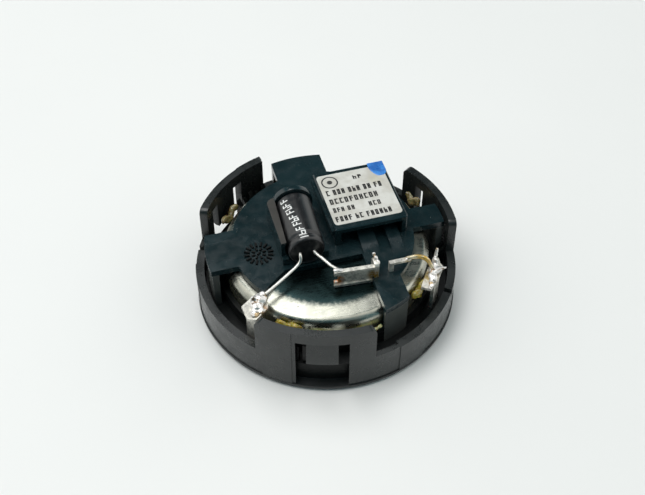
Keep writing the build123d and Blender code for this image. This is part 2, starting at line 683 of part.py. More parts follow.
def make_link_wire():
    level = STRIP_LOW + STRIP_THICKNESS / 2
    line = STRIP_FRONT + SHEET / 2
    start = (STRIP_RIGHT + 0.05, line, level)
    middle = (LINK_BEND_X, line, level)
    return tubes((start, middle, polar(*LINK_END)), LINK_RADIUS, [LINK_BEND_RADIUS])


def make_solder_joints(tinned):
    """Four solder masses, each cut clear of what it holds."""
    joints = Part()
    for place, radius, floor in SOLDER_MASSES:
        mass = Pos(*place) * Sphere(radius) & disc(REACH, floor, REACH)
        for piece in tinned:
            mass -= piece
        joints += mass
    return joints


def make_glue_beads():
    """Glue along the cup above the collar and on the inside of two tongues."""
    low = COLLAR_TOP + 0.1
    beads = Part()
    for start, end in CUP_GLUE_SECTORS:
        beads += ring_sector(CUP_RADIUS + 0.02, CUP_RADIUS + GLUE_WIDTH, start, end, low, low + GLUE_HEIGHT)
    for start, end in TONGUE_GLUE_SECTORS:
        beads += ring_sector(TONGUE_GLUE_RADIUS, TONGUE_INNER - 0.15, start, end, *TONGUE_GLUE_Z)
    return beads


# --- label and paint ---------------------------------------------------------
def make_label():
    body = block(LABEL_X, LABEL_Y, (SHELL_TOP, SHELL_TOP + LABEL_THICKNESS))
    return fillet(body.edges().filter_by(Axis.Z), LABEL_CORNER)


def make_paint_mark(label):
    outline = Spline(*PAINT_OUTLINE, periodic=True)
    body = Pos(0, 0, SHELL_TOP) * extrude(make_face(outline), PAINT_THICKNESS)
    return body - label


# --- assembly ----------------------------------------------------------------
def make_parts():
    lead_left, lead_right = make_capacitor_leads()
    contact_left, contact_right = make_contact_left(), make_contact_right()
    lug_left, lug_right = make_lug_left(), make_lug_right()
    link_wire = make_link_wire()
    label = make_label()
    motor_front, motor_back = PLATE_REAR, PLATE_REAR + POLE_THICKNESS
    tinned = (lead_left, lead_right, contact_left, contact_right, lug_left, lug_right, link_wire)
    return {
        "housing": make_housing(),
        "front_bezel": make_front_bezel(),
        "protective_grille": make_grille(),
        "spacer_ring": make_spacer_ring(),
        "foam_gasket": make_foam_gasket(),
        "face_plate": make_face_plate(),
        "dome_diaphragm": make_dome(),
        "surround": make_surround(),
        "voice_coil_former": ring(FORMER_INNER, FORMER_OUTER, DOME_BASE + DOME_SHEET, FORMER_TOP),
        "voice_coil": ring(FORMER_OUTER, COIL_OUTER, COIL_LOW, COIL_HIGH),
        "damping_pad": disc(PAD_FELT_RADIUS, PAD_FELT_FRONT, motor_front),
        "pole_plate": disc(POLE_PLATE_RADIUS, motor_front, motor_back),
        "pole_ring": ring(POLE_RING_INNER, CUP_INNER, motor_front, motor_back),
        "magnet": disc(MAGNET_RADIUS, motor_back, CUP_TOP - CUP_FLOOR),
        "yoke_cup": make_yoke_cup(),
        "rear_cover": make_rear_cover((contact_left, contact_right)),
        "contact_left": contact_left,
        "contact_right": contact_right,
        "capacitor_can": make_capacitor_can(),
        "capacitor_sleeve": make_capacitor_sleeve(),
        "capacitor_bung": make_capacitor_bung((lead_left, lead_right)),
        "capacitor_lead_left": lead_left,
        "capacitor_lead_right": lead_right,
        "solder_lug_left": lug_left,
        "solder_lug_right": lug_right,
        "lead_out_left": make_lead_out(LEFT_LUG_ANGLE),
        "lead_out_right": make_lead_out(RIGHT_LUG_ANGLE),
        "link_wire": link_wire,
        "solder_joints": make_solder_joints(tinned),
        "glue_beads": make_glue_beads(),
        "label": label,
        "paint_mark": make_paint_mark(label),
    }


os.makedirs("parts", exist_ok=True)
for name, shape in make_parts().items():
    export_step(shape, f"parts/{name}.step")
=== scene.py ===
import random
from math import cos, pi, radians, sin

import bmesh
import bpy
from mathutils import Matrix, Vector, noise


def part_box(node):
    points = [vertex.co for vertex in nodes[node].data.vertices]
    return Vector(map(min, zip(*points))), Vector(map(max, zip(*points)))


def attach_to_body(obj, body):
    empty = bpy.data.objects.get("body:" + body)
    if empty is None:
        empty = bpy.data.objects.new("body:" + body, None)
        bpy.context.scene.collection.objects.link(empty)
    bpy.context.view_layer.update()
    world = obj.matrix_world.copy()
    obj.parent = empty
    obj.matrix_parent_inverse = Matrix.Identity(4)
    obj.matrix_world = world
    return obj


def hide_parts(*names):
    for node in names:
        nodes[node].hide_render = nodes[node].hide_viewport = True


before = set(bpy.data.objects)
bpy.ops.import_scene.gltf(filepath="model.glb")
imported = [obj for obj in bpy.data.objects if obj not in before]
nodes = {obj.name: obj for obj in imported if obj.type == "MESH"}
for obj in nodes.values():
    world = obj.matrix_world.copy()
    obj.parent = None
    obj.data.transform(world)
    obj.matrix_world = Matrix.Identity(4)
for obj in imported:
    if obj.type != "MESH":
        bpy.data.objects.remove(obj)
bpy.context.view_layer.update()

# The rear side of a car tweeter that lies on its front face. Blender works in metres.
# Lengths here are in millimetres, and MM turns them into metres. Only the last section,
# for the floor, light and camera, gives them in metres. Angles are in degrees.
MM = 0.001
BODY = "body"
rng = random.Random(7)


def low_high(node):
    """A node's lowest and highest corners, in millimetres."""
    low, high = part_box(node)
    return low / MM, high / MM


def polar(radius, angle, z=0.0):
    """A point at an angle round the speaker axis."""
    return Vector((radius * cos(radians(angle)), radius * sin(radians(angle)), z))


# --- materials ---------------------------------------------------------------
class Shader:
    """A material's node tree, with the object's own coordinates in millimetres."""

    def __init__(self, name, **sockets):
        self.material = bpy.data.materials.new(name)
        self.material.use_nodes = True
        self.tree = self.material.node_tree
        self.bsdf = self.tree.nodes["Principled BSDF"]
        coords = self.tree.nodes.new("ShaderNodeTexCoord")
        scale = self.tree.nodes.new("ShaderNodeVectorMath")
        scale.operation = "SCALE"
        scale.inputs["Scale"].default_value = 1 / MM
        self.tree.links.new(coords.outputs["Object"], scale.inputs[0])
        self.coords = scale.outputs[0]
        for key, value in sockets.items():
            self.set(key.replace("_", " "), value)

    def set(self, socket, value):
        self.plug(self.bsdf, socket, value)

    def plug(self, node, socket, value):
        """Links value to the node's socket, or sets it there if it is a number or colour."""
        if isinstance(value, bpy.types.NodeSocket):
            self.tree.links.new(value, node.inputs[socket])
        elif node.inputs[socket].type == "RGBA":
            node.inputs[socket].default_value = (*value, 1.0)
        else:
            node.inputs[socket].default_value = value

    def stretched(self, scale, turn=(0, 0, 0)):
        node = self.tree.nodes.new("ShaderNodeMapping")
        node.inputs["Scale"].default_value = scale
        node.inputs["Rotation"].default_value = [radians(a) for a in turn]
        self.tree.links.new(self.coords, node.inputs["Vector"])
        return node.outputs["Vector"]

    def noise(self, scale, detail=4.0, rough=0.55, vector=None, distort=0.0):
        node = self.tree.nodes.new("ShaderNodeTexNoise")
        node.inputs["Scale"].default_value = scale
        node.inputs["Detail"].default_value = detail
        node.inputs["Roughness"].default_value = rough
        node.inputs["Distortion"].default_value = distort
        self.tree.links.new(vector or self.coords, node.inputs["Vector"])
        return node.outputs["Fac"]

    def cells(self, scale):
        """Distance from the nearest of many scattered points."""
        node = self.tree.nodes.new("ShaderNodeTexVoronoi")
        node.inputs["Scale"].default_value = scale
        self.tree.links.new(self.coords, node.inputs["Vector"])
        return node.outputs["Distance"]

    def wave(self, scale, direction="Z", distort=0.0):
        node = self.tree.nodes.new("ShaderNodeTexWave")
        node.bands_direction = direction
        node.inputs["Scale"].default_value = scale
        node.inputs["Distortion"].default_value = distort
        self.tree.links.new(self.coords, node.inputs["Vector"])
        return node.outputs["Fac"]

    def steps(self, value, low, high, out_low=0.0, out_high=1.0):
        """Smooth change from out_low to out_high as value goes from low to high."""
        node = self.tree.nodes.new("ShaderNodeMapRange")
        node.interpolation_type = "SMOOTHSTEP"
        self.plug(node, "Value", value)
        node.inputs["From Min"].default_value = low
        node.inputs["From Max"].default_value = high
        node.inputs["To Min"].default_value = out_low
        node.inputs["To Max"].default_value = out_high
        return node.outputs["Result"]

    def math(self, operation, a, b=0.0):
        node = self.tree.nodes.new("ShaderNodeMath")
        node.operation = operation
        self.plug(node, 0, a)
        self.plug(node, 1, b)
        return node.outputs[0]

    def mix(self, share, a, b):
        node = self.tree.nodes.new("ShaderNodeMix")
        node.data_type = "RGBA"
        self.plug(node, 0, share)
        self.plug(node, 6, a)
        self.plug(node, 7, b)
        return node.outputs[2]

    def axis(self, name):
        node = self.tree.nodes.new("ShaderNodeSeparateXYZ")
        self.tree.links.new(self.coords, node.inputs[0])
        return node.outputs[name]

    def radius(self):
        """Distance from the speaker axis, in millimetres."""
        x, y = self.axis("X"), self.axis("Y")
        square = self.math("ADD", self.math("MULTIPLY", x, x), self.math("MULTIPLY", y, y))
        return self.math("SQRT", square)

    def near(self, point, radius, soft):
        """1 within radius of a point, in millimetres, falling to 0 over soft."""
        node = self.tree.nodes.new("ShaderNodeVectorMath")
        node.operation = "DISTANCE"
        self.tree.links.new(self.coords, node.inputs[0])
        node.inputs[1].default_value = point
        return self.steps(node.outputs["Value"], radius, radius + soft, 1.0, 0.0)

    def upward(self):
        """How far the surface faces up, for dust that settles there and, turned round, for the painted
        highlight on upright faces.
        """
        geometry = self.tree.nodes.new("ShaderNodeNewGeometry")
        split = self.tree.nodes.new("ShaderNodeSeparateXYZ")
        self.tree.links.new(geometry.outputs["Normal"], split.inputs[0])
        return self.steps(split.outputs["Z"], 0.3, 0.9)

    def bump(self, height, strength, distance, under=None):
        node = self.tree.nodes.new("ShaderNodeBump")
        node.inputs["Strength"].default_value = strength
        node.inputs["Distance"].default_value = distance * MM
        self.tree.links.new(height, node.inputs["Height"])
        if under is not None:
            self.tree.links.new(under, node.inputs["Normal"])
        return node.outputs["Normal"]


LEG_RADIUS = (19.2, 19.5)   # where the painted highlight on the outer faces of the cover's legs begins
LEG_HEIGHT = (12.7, 12.9)   # where the painted highlight on those faces ends
NORMAL_SHINE, DULL = 0.5, 0.2
SCRATCH_COLOUR, LINT_COLOUR = (0.16, 0.17, 0.17), (0.42, 0.42, 0.38)


def moulded_plastic(name, dark, light, rough, dust=0.5, scratches=0.5, sides=None, shine=NORMAL_SHINE):
    """Moulded black plastic: fine grain, flow marks, hairline scratches, dust.

    sides is a lighter colour for the upright outer faces of the legs, a painted highlight for the light those
    faces catch.
    """
    s = Shader(name, IOR=1.5, Specular_IOR_Level=shine)
    flow = s.noise(0.12, 3.0, 0.6, distort=0.6)
    colour = s.mix(s.steps(flow, 0.35, 0.65), dark, light)
    hair = s.noise(1.0, 2.0, 0.5, vector=s.stretched((0.5, 9.0, 0.5), (20, 35, 50)))
    other = s.noise(1.0, 2.0, 0.5, vector=s.stretched((8.0, 0.45, 0.6), (10, 15, -25)))
    lines = s.math("MAXIMUM", s.steps(hair, 0.72, 0.76), s.steps(other, 0.73, 0.77))
    patch = s.steps(s.noise(0.25, 2.0), 0.5, 0.62)
    lines = s.math("MULTIPLY", s.math("MULTIPLY", lines, patch), scratches)
    specks = s.steps(s.cells(1.3), 0.035, 0.06, 1.0, 0.0)
    lint = s.math("MULTIPLY", specks, s.steps(s.noise(0.35, 2.0), 0.5, 0.6))
    lint = s.math("MULTIPLY", s.math("MULTIPLY", lint, s.upward()), dust)
    colour = s.mix(s.math("MULTIPLY", lines, 0.25), colour, SCRATCH_COLOUR)
    colour = s.mix(lint, colour, LINT_COLOUR)
    # Painted highlight: the upright outer faces of the legs get the lighter sides colour, for the light they
    # catch.
    if sides is not None:
        outside = s.steps(s.radius(), *LEG_RADIUS)
        below = s.steps(s.axis("Z"), *LEG_HEIGHT, 1.0, 0.0)
        side = s.math("MULTIPLY", s.math("MULTIPLY", outside, below), s.math("SUBTRACT", 1.0, s.upward()))
        colour = s.mix(side, colour, sides)
    s.set("Base Color", colour)
    grain = s.noise(7.0, 3.0, 0.6)
    roughness = s.steps(s.noise(0.5, 5.0, 0.6), 0.3, 0.7, rough - 0.06, rough + 0.07)
    s.set("Roughness", s.math("ADD", roughness, s.math("MULTIPLY", lint, 0.3)))
    fine = s.bump(grain, 0.12, 0.05)
    s.set("Normal", s.bump(s.math("SUBTRACT", flow, s.math("MULTIPLY", lines, 0.02)), 0.04, 1.0, fine))
    return s.material


CUP_SKIRT = (10.6, 12.2)    # the lighter olive skirt colour fades out between these heights
CUP_FLAT_HEIGHT = (12.0, 12.3)
CUP_FLAT_EDGE = (15.1, 16.7)    # the painted dark reflection on the flat back ends between these radii
SPECKS_FROM, SPECKS_TO = (11.2, 11.9), (12.6, 13.1)   # heights of the fine specks
SKIRT_COLOUR, FLAT_REFLECTION_COLOUR, SPECK_COLOUR = (0.50, 0.50, 0.36), (0.006, 0.022, 0.024), (0.02, 0.02, 0.018)


def cup_steel():
    """Bright plated steel with a teal tint on its flat back, darkened there as a painted reflection, a
    lighter olive skirt, streaks and black specks.
    """
    s = Shader("cup_steel", Metallic=1.0)
    cloud = s.noise(0.16, 4.0, 0.6, distort=0.8)
    colour = s.mix(s.steps(cloud, 0.35, 0.65), (0.33, 0.33, 0.28), (0.42, 0.42, 0.365))
    height = s.math("ADD", s.axis("Z"), s.math("MULTIPLY", s.noise(0.5, 3.0), 1.2))
    colour = s.mix(s.steps(height, *CUP_SKIRT, 0.85, 0.0), colour, SKIRT_COLOUR)
    # Painted reflection: the flat back is painted near black for the dark parts above that it mirrors; its
    # teal tint is the plating's own.
    reach = s.math("ADD", s.radius(), s.math("MULTIPLY", s.noise(1.6, 4.0, 0.7), 1.6))
    inside = s.steps(reach, *CUP_FLAT_EDGE, 1.0, 0.0)
    flat = s.math("MULTIPLY", inside, s.steps(s.axis("Z"), *CUP_FLAT_HEIGHT))
    colour = s.mix(s.math("MULTIPLY", flat, 0.97), colour, FLAT_REFLECTION_COLOUR)
    pits = s.steps(s.cells(0.8), 0.07, 0.1, 1.0, 0.0)
    pits = s.math("MULTIPLY", pits, s.steps(s.noise(0.33, 2.0), 0.55, 0.6))
    small = s.steps(s.cells(3.4), 0.1, 0.2, 1.0, 0.0)
    band = s.math("MULTIPLY", s.steps(height, *SPECKS_FROM), s.steps(height, *SPECKS_TO, 1.0, 0.0))
    small = s.math("MULTIPLY", small, s.math("MULTIPLY", band, s.steps(s.noise(0.3, 4.0, 0.7), 0.5, 0.6)))
    dirt = s.math("MAXIMUM", pits, small)
    colour = s.mix(s.math("MULTIPLY", dirt, 0.9), colour, SPECK_COLOUR)
    s.set("Base Color", colour)
    streak = s.noise(1.0, 4.0, 0.6, vector=s.stretched((0.3, 5.0, 0.3), (0, 0, 28)))
    worn = s.steps(s.noise(0.35, 5.0, 0.65), 0.4, 0.7, 0.24, 0.33)
    rough = s.math("ADD", worn, s.math("MULTIPLY", s.steps(streak, 0.45, 0.7), 0.10))
    s.set("Roughness", s.math("ADD", rough, s.math("MULTIPLY", dirt, 0.4)))
    uneven = s.bump(s.noise(0.3, 2.0, 0.5), 0.03, 0.8)
    s.set("Normal", s.bump(s.math("SUBTRACT", s.noise(4.0, 3.0, 0.6), dirt), 0.08, 0.04, uneven))
    return s.material


def tinned(name, stains, tint=(0.86, 0.83, 0.75), rough=0.4, dirt=0.6):
    """Dull tinned metal; stains are (point, radius, soft edge, colour)."""
    s = Shader(name, Metallic=0.75)
    cloud = s.noise(0.9, 4.0, 0.6, distort=0.5)
    darker = tuple(0.6 * value for value in tint)
    colour = s.mix(s.steps(cloud, 0.38, 0.62), darker, tint)
    spots = s.steps(s.noise(2.4, 3.0, 0.6, distort=0.4), 0.6, 0.68)
    spots = s.math("MULTIPLY", spots, s.steps(s.noise(0.7, 2.0), 0.48, 0.58))
    colour = s.mix(s.math("MULTIPLY", spots, dirt), colour, (0.05, 0.04, 0.03))
    for point, radius, soft, stain in stains:
        edge = s.math("MULTIPLY", s.near(point, radius, soft), s.steps(s.noise(1.6, 3.0), 0.3, 0.5))
        colour = s.mix(edge, colour, stain)
    s.set("Base Color", colour)
    s.set("Roughness", s.steps(s.noise(2.2, 5.0, 0.7), 0.3, 0.7, rough - 0.1, rough + 0.18))
    s.set("Normal", s.bump(s.noise(1.6, 3.0, 0.6), 0.25, 0.05))
    return s.material


def solder():
    """Bright solder, frozen in soft folds, with flux left in the hollows."""
    s = Shader("solder_metal", Metallic=0.85)
    folds = s.noise(0.8, 3.0, 0.5, distort=1.0)
    colour = s.mix(s.steps(folds, 0.34, 0.44), (0.20, 0.14, 0.09), (0.80, 0.77, 0.74))
    s.set("Base Color", s.mix(s.steps(s.noise(0.45, 2.0), 0.58, 0.66), colour, (0.52, 0.38, 0.22)))
    s.set("Roughness", s.steps(s.noise(1.2, 3.0), 0.3, 0.7, 0.32, 0.55))
    s.set("Normal", s.bump(folds, 0.3, 0.12))
    return s.material


def set_glue(name, deep, thin):
    """Set contact glue: clear amber skin with air bubbles and dust."""
    s = Shader(name, IOR=1.5, Coat_Weight=0.7, Coat_Roughness=0.12,
               Subsurface_Weight=0.25, Subsurface_Scale=0.8 * MM)
    colour = s.mix(s.steps(s.noise(0.7, 4.0, 0.6, distort=0.8), 0.35, 0.65), deep, thin)
    bubbles = s.steps(s.cells(2.1), 0.1, 0.2, 1.0, 0.0)
    colour = s.mix(s.math("MULTIPLY", bubbles, 0.4), colour, (0.75, 0.68, 0.35))
    s.set("Base Color", colour)
    s.set("Roughness", s.steps(s.noise(1.4, 3.0), 0.3, 0.7, 0.15, 0.45))
    s.set("Normal", s.bump(s.noise(1.2, 4.0), 0.6, 0.25))
    return s.material


def sleeve_film():
    """Black shrunk film with fine wrinkles and rubbed patches."""
    s = Shader("sleeve_film", IOR=1.5, Coat_Weight=0.25, Coat_Roughness=0.25)
    rubbed = s.steps(s.noise(0.55, 5.0, 0.7), 0.5, 0.68)
    colour = s.mix(rubbed, (0.007, 0.007, 0.008), (0.020, 0.019, 0.0195))
    dust = s.steps(s.cells(2.2), 0.05, 0.09, 1.0, 0.0)
    dust = s.math("MULTIPLY", dust, s.steps(s.noise(0.5, 2.0), 0.52, 0.6))
    s.set("Base Color", s.mix(s.math("MULTIPLY", dust, 0.6), colour, (0.4, 0.4, 0.38)))
    s.set("Roughness", s.steps(rubbed, 0.0, 1.0, 0.34, 0.5))
    wrinkles = s.noise(1.0, 3.0, 0.6, vector=s.stretched((2.5, 0.5, 2.5)))
    s.set("Normal", s.bump(wrinkles, 0.2, 0.12))
    return s.material


def drawn_metal(name, tint, rough, direction="Z", lines=3.0):
    """Turned or drawn metal with fine lines and a few handling marks."""
    s = Shader(name, Metallic=1.0)
    marks = s.steps(s.noise(0.8, 5.0, 0.7), 0.55, 0.7)
    s.set("Base Color", s.mix(s.math("MULTIPLY", marks, 0.5), tint, tuple(0.5 * value for value in tint)))
    s.set("Roughness", s.steps(s.noise(1.5, 4.0), 0.3, 0.7, rough - 0.08, rough + 0.12))
    s.set("Normal", s.bump(s.wave(lines, direction, 0.6), 0.15, 0.03))
    return s.material


def woven_cloth(name, dark, light):
    """Coated cloth, woven over and under."""
    s = Shader(name, Sheen_Weight=0.2)
    weave = s.math("ADD", s.wave(4.0, "X"), s.wave(4.0, "Y"))
    s.set("Base Color", s.mix(s.steps(weave, 0.4, 1.6), dark, light))
    s.set("Roughness", s.steps(s.noise(1.2, 3.0), 0.3, 0.7, 0.5, 0.7))
    s.set("Normal", s.bump(weave, 0.5, 0.08))
    return s.material


def porous(name, dark, light, scale, rough, shine=NORMAL_SHINE):
    """Foam, felt or rubber with pores or fibres."""
    s = Shader(name, Specular_IOR_Level=shine)
    pores = s.cells(scale)
    s.set("Base Color", s.mix(s.steps(pores, 0.1, 0.6), dark, light))
    s.set("Roughness", s.steps(s.noise(1.0, 3.0), 0.3, 0.7, rough - 0.08, rough + 0.08))
    s.set("Normal", s.bump(s.math("ADD", pores, s.noise(scale * 1.7, 4.0)), 0.6, 0.12))
    return s.material


def copper_winding():
    """Enamelled copper wire, wound turn on turn."""
    s = Shader("winding_enamel", Metallic=1.0)
    turns = s.wave(3.2, "Z")
    s.set("Base Color", s.mix(s.steps(turns, 0.0, 0.5), (0.12, 0.03, 0.01), (0.75, 0.33, 0.14)))
    s.set("Roughness", s.steps(s.noise(2.0, 3.0), 0.3, 0.7, 0.2, 0.35))
    s.set("Normal", s.bump(turns, 1.0, 0.08))
    return s.material


LABEL_STAIN = (11.6, 7.6, 18.1)


def label_film():
    """Silvery white printed label with a yellowed patch and rubbed specks."""
    s = Shader("label_film", IOR=1.48)
    colour = s.mix(s.steps(s.noise(0.28, 4.0, 0.6), 0.35, 0.65), (0.50, 0.48, 0.43), (0.62, 0.61, 0.57))
    specks = s.steps(s.cells(1.7), 0.05, 0.1, 1.0, 0.0)
    specks = s.math("MULTIPLY", specks, s.steps(s.noise(0.4, 2.0), 0.5, 0.58))
    colour = s.mix(s.math("MULTIPLY", specks, 0.7), colour, (0.22, 0.20, 0.17))
    stain = s.near(LABEL_STAIN, 0.3, 1.6)
    colour = s.mix(s.math("MULTIPLY", stain, 0.5), colour, (0.45, 0.42, 0.30))
    s.set("Base Color", colour)
    s.set("Roughness", s.steps(s.noise(0.8, 4.0), 0.3, 0.7, 0.34, 0.52))
    s.set("Normal", s.bump(s.noise(2.2, 4.0, 0.6), 0.12, 0.06))
    return s.material


def ink(name, tint, worn):
    """Printing ink that has worn thin in places."""
    s = Shader(name)
    wear = s.steps(s.noise(2.6, 4.0, 0.7), 0.56, 0.72)
    s.set("Base Color", s.mix(wear, tint, worn))
    s.set("Roughness", s.steps(s.noise(2.0, 3.0), 0.3, 0.7, 0.4, 0.6))
    s.set("Normal", s.bump(s.noise(6.0, 3.0), 0.2, 0.03))
    return s.material


def marker_paint():
    """Glossy blue marker paint, uneven where it was dabbed on."""
    s = Shader("marker_paint", IOR=1.5, Coat_Weight=0.4, Coat_Roughness=0.2)
    tone = s.noise(0.5, 4.0, 0.6, distort=0.6)
    s.set("Base Color", s.mix(s.steps(tone, 0.35, 0.65), (0.02, 0.12, 0.42), (0.05, 0.24, 0.66)))
    s.set("Roughness", s.steps(s.noise(1.5, 3.0), 0.3, 0.7, 0.22, 0.4))
    s.set("Normal", s.bump(tone, 0.4, 0.1))
    return s.material


plastic_housing = moulded_plastic("plastic_housing", (0.011, 0.0135, 0.0135), (0.017, 0.020, 0.0195), 0.3)
plastic_bezel = moulded_plastic("plastic_bezel", (0.005, 0.007, 0.007), (0.009, 0.011, 0.0115), 0.4, dust=0.2)
# The cover's sides colour is a painted highlight on the upright faces of its legs.
plastic_cover = moulded_plastic("plastic_cover", (0.006, 0.0155, 0.018), (0.010, 0.023, 0.0265), 0.2,
                                dust=0.8, scratches=0.8, sides=(0.075, 0.08, 0.075))
plastic_inner = moulded_plastic("plastic_inner", (0.002, 0.003, 0.003), (0.004, 0.005, 0.005), 0.36,
                                shine=DULL)
# Paler, browner plastic with heavier scratches and dust for the top of the cradle's left wall; its lighter
# tone is a painted highlight.
plastic_rubbed_and_lit = moulded_plastic("plastic_rubbed_and_lit", (0.022, 0.020, 0.017), (0.040, 0.036, 0.030), 0.45,
                                 dust=1.0, scratches=1.0)
steel_pole = drawn_metal("steel_pole", (0.58, 0.58, 0.57), 0.3)
solder_metal = solder()
can_metal = drawn_metal("can_aluminium", (0.78, 0.79, 0.8), 0.25, "Y", 2.0)
bung_rubber = porous("bung_rubber", (0.001, 0.001, 0.001), (0.003, 0.003, 0.003), 5.0, 0.5, DULL)

# Flux and heat stains on tinned metal: place, radius, soft edge, colour.
CONTACT_LEFT_STAINS = (
    ((-1.0, -11.0, 14.6), 0.5, 0.9, (0.62, 0.24, 0.07)),
    ((5.4, -11.6, 14.6), 0.5, 1.3, (0.45, 0.25, 0.04)))
CONTACT_RIGHT_STAINS = (((12.4, -11.0, 15.7), 0.3, 1.6, (0.55, 0.36, 0.12)),)
LUG_LEFT_STAINS = (((-15.2, -13.6, 13.9), 0.5, 1.2, (0.40, 0.26, 0.16)),)
LUG_RIGHT_STAINS = (((15.0, -13.6, 13.3), 0.5, 1.6, (0.45, 0.34, 0.14)),)
LINK_STAINS = (((14.6, -10.9, 15.6), 1.0, 1.8, (0.62, 0.40, 0.10)),)

CAD_MATERIALS = {
    "housing": plastic_housing,
    "front_bezel": plastic_bezel,
    "protective_grille": drawn_metal("grille_paint", (0.03, 0.03, 0.032), 0.45, "X", 2.0),
    "spacer_ring": plastic_inner,
    "foam_gasket": porous("gasket_foam", (0.006, 0.006, 0.006), (0.04, 0.04, 0.04), 4.0, 0.85),
    "face_plate": plastic_inner,
    "dome_diaphragm": woven_cloth("dome_cloth", (0.012, 0.01, 0.009), (0.05, 0.044, 0.038)),
    "surround": woven_cloth("surround_cloth", (0.008, 0.007, 0.006), (0.035, 0.03, 0.026)),
    "voice_coil_former": drawn_metal("former_foil", (0.8, 0.8, 0.81), 0.25, "Z", 2.0),
    "voice_coil": copper_winding(),
    "damping_pad": porous("pad_felt", (0.30, 0.29, 0.26), (0.58, 0.57, 0.52), 3.0, 0.9),
    "pole_plate": steel_pole,
    "pole_ring": steel_pole,
    "magnet": drawn_metal("magnet_nickel", (0.66, 0.64, 0.6), 0.2, "Z", 1.0),
    "yoke_cup": cup_steel(),
    "rear_cover": plastic_cover,
    "contact_left": tinned("contact_tin_left", CONTACT_LEFT_STAINS),
    "contact_right": tinned("contact_tin_right", CONTACT_RIGHT_STAINS),
    "solder_lug_left": tinned("lug_tin_left", LUG_LEFT_STAINS),
    "solder_lug_right": tinned("lug_tin_right", LUG_RIGHT_STAINS),
    "lead_out_left": drawn_metal("lead_out_copper", (0.72, 0.42, 0.24), 0.35),
    "lead_out_right": drawn_metal("lead_out_copper_right", (0.72, 0.42, 0.24), 0.35),
    "label": label_film(),
}

# Width of the rounded edges of each CAD node that has them.
BEVELS = {
    "housing": 0.16, "rear_cover": 0.16, "front_bezel": 0.08, "face_plate": 0.08,
    "contact_left": 0.07, "contact_right": 0.07, "solder_lug_left": 0.09, "solder_lug_right": 0.09,
    "label": 0.03, "pole_ring": 0.08, "pole_plate": 0.08, "magnet": 0.15, "spacer_ring": 0.08,
    "foam_gasket": 0.15, "damping_pad": 0.25,
}
SAME_POINT = 0.0005
FLAT_ANGLE, EDGE_ANGLE, SHARP_ANGLE = 0.4, 32, 38


def soften(piece, width):
    """Rounds a piece's sharp edges a little, with modifiers, so its mesh keeps its points."""
    if "custom_normal" in piece.data.attributes:
        piece.data.attributes.remove(piece.data.attributes["custom_normal"])
    piece.data.polygons.foreach_set("use_smooth", [True] * len(piece.data.polygons))
    weld = piece.modifiers.new("weld", "WELD")
    weld.merge_threshold = SAME_POINT * MM
    flat = piece.modifiers.new("flat", "DECIMATE")
    flat.decimate_type = "DISSOLVE"
    flat.angle_limit = radians(FLAT_ANGLE)
    bevel = piece.modifiers.new("bevel", "BEVEL")
    bevel.width = width * MM
    bevel.segments = 3
    bevel.limit_method = "ANGLE"
    bevel.angle_limit = radians(EDGE_ANGLE)
    bevel.miter_outer = "MITER_ARC"
    normals = piece.modifiers.new("normals", "WEIGHTED_NORMAL")
    normals.keep_sharp = False
    normals.weight = 80


WALL_INNER, BEZEL_LIP = 22.4, 0.9     # the bezel's inside is within this radius, above this height
CRADLE_WALL_TOP, CRADLE_WALL_RIGHT = 18.7, -7.0
LEVEL_SLACK = 0.01


def paint_faces(node, material, wanted):
    """A second material on the CAD faces whose centre, in millimetres, is wanted."""
    mesh = nodes[node].data
    mesh.materials.append(material)
    for face in mesh.polygons:
        if wanted(face.center / MM):
            face.material_index = 1


def dress_cad_nodes():
    """A material and rounded edges for every CAD node that stays visible."""
    for name, material in CAD_MATERIALS.items():
        piece = nodes[name]
        piece.data.materials.clear()
        piece.data.materials.append(material)
        if name in BEVELS:
            soften(piece, BEVELS[name])
    # Painted shade: the bezel's inside faces, down in the housing, get the darker and duller inner plastic.
    paint_faces("front_bezel", plastic_inner,
                lambda at: at.xy.length < WALL_INNER and at.z > BEZEL_LIP)
    # The top of the cradle's left wall gets the paler plastic, a painted highlight on that face.
    paint_faces("rear_cover", plastic_rubbed_and_lit,
                lambda at: abs(at.z - CRADLE_WALL_TOP) < LEVEL_SLACK and at.x < CRADLE_WALL_RIGHT)


# --- mesh building -----------------------------------------------------------
ARC_PARTS, PATH_PARTS, TUBE_SIDES = 3, 8, 14
WIRE_WOBBLE = 0.06
LUMP_SUBDIVISIONS, LUMP_RELAX, LUMP_RELAX_ROUNDS = 4, 0.6, 6


def attach(piece, replaces):
    """Puts a piece on the body and hides the nodes it stands for."""
    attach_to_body(piece, BODY)
    if replaces:
        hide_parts(*replaces)


def add_piece(name, points, faces, material, slot, smooth=True, replaces=()):
    """A mesh piece from points in millimetres, riding on the body."""
    mesh = bpy.data.meshes.new(name)
    mesh.from_pydata([Vector(p) * MM for p in points], [], faces)
    mesh.update()
    bm = bmesh.new()
    bm.from_mesh(mesh)
    bmesh.ops.recalc_face_normals(bm, faces=bm.faces)
    bm.to_mesh(mesh)
    bm.free()
    mesh.polygons.foreach_set("use_smooth", [smooth] * len(mesh.polygons))
    mesh.set_sharp_from_angle(angle=radians(SHARP_ANGLE))
    mesh.materials.append(material)
    piece = bpy.data.objects.new(name, mesh)
    bpy.context.scene.collection.objects.link(piece)
    attach(piece, replaces)


def lathe(profile, place, count=96):
    """Points and faces of a closed outline (radius, height) turned about place's Z."""
    points, faces = [], []
    size = len(profile)
    for step in range(count):
        angle = 2 * pi * step / count
        for radius, height in profile:
            points.append(place @ Vector((radius * cos(angle), radius * sin(angle), height)))
    for step in range(count):
        a, b = step * size, ((step + 1) % count) * size
        for i in range(size - 1):
            faces.append((a + i, a + i + 1, b + i + 1, b + i))
    faces.append([step * size for step in range(count)])
    faces.append([step * size + size - 1 for step in reversed(range(count))])
    return points, faces


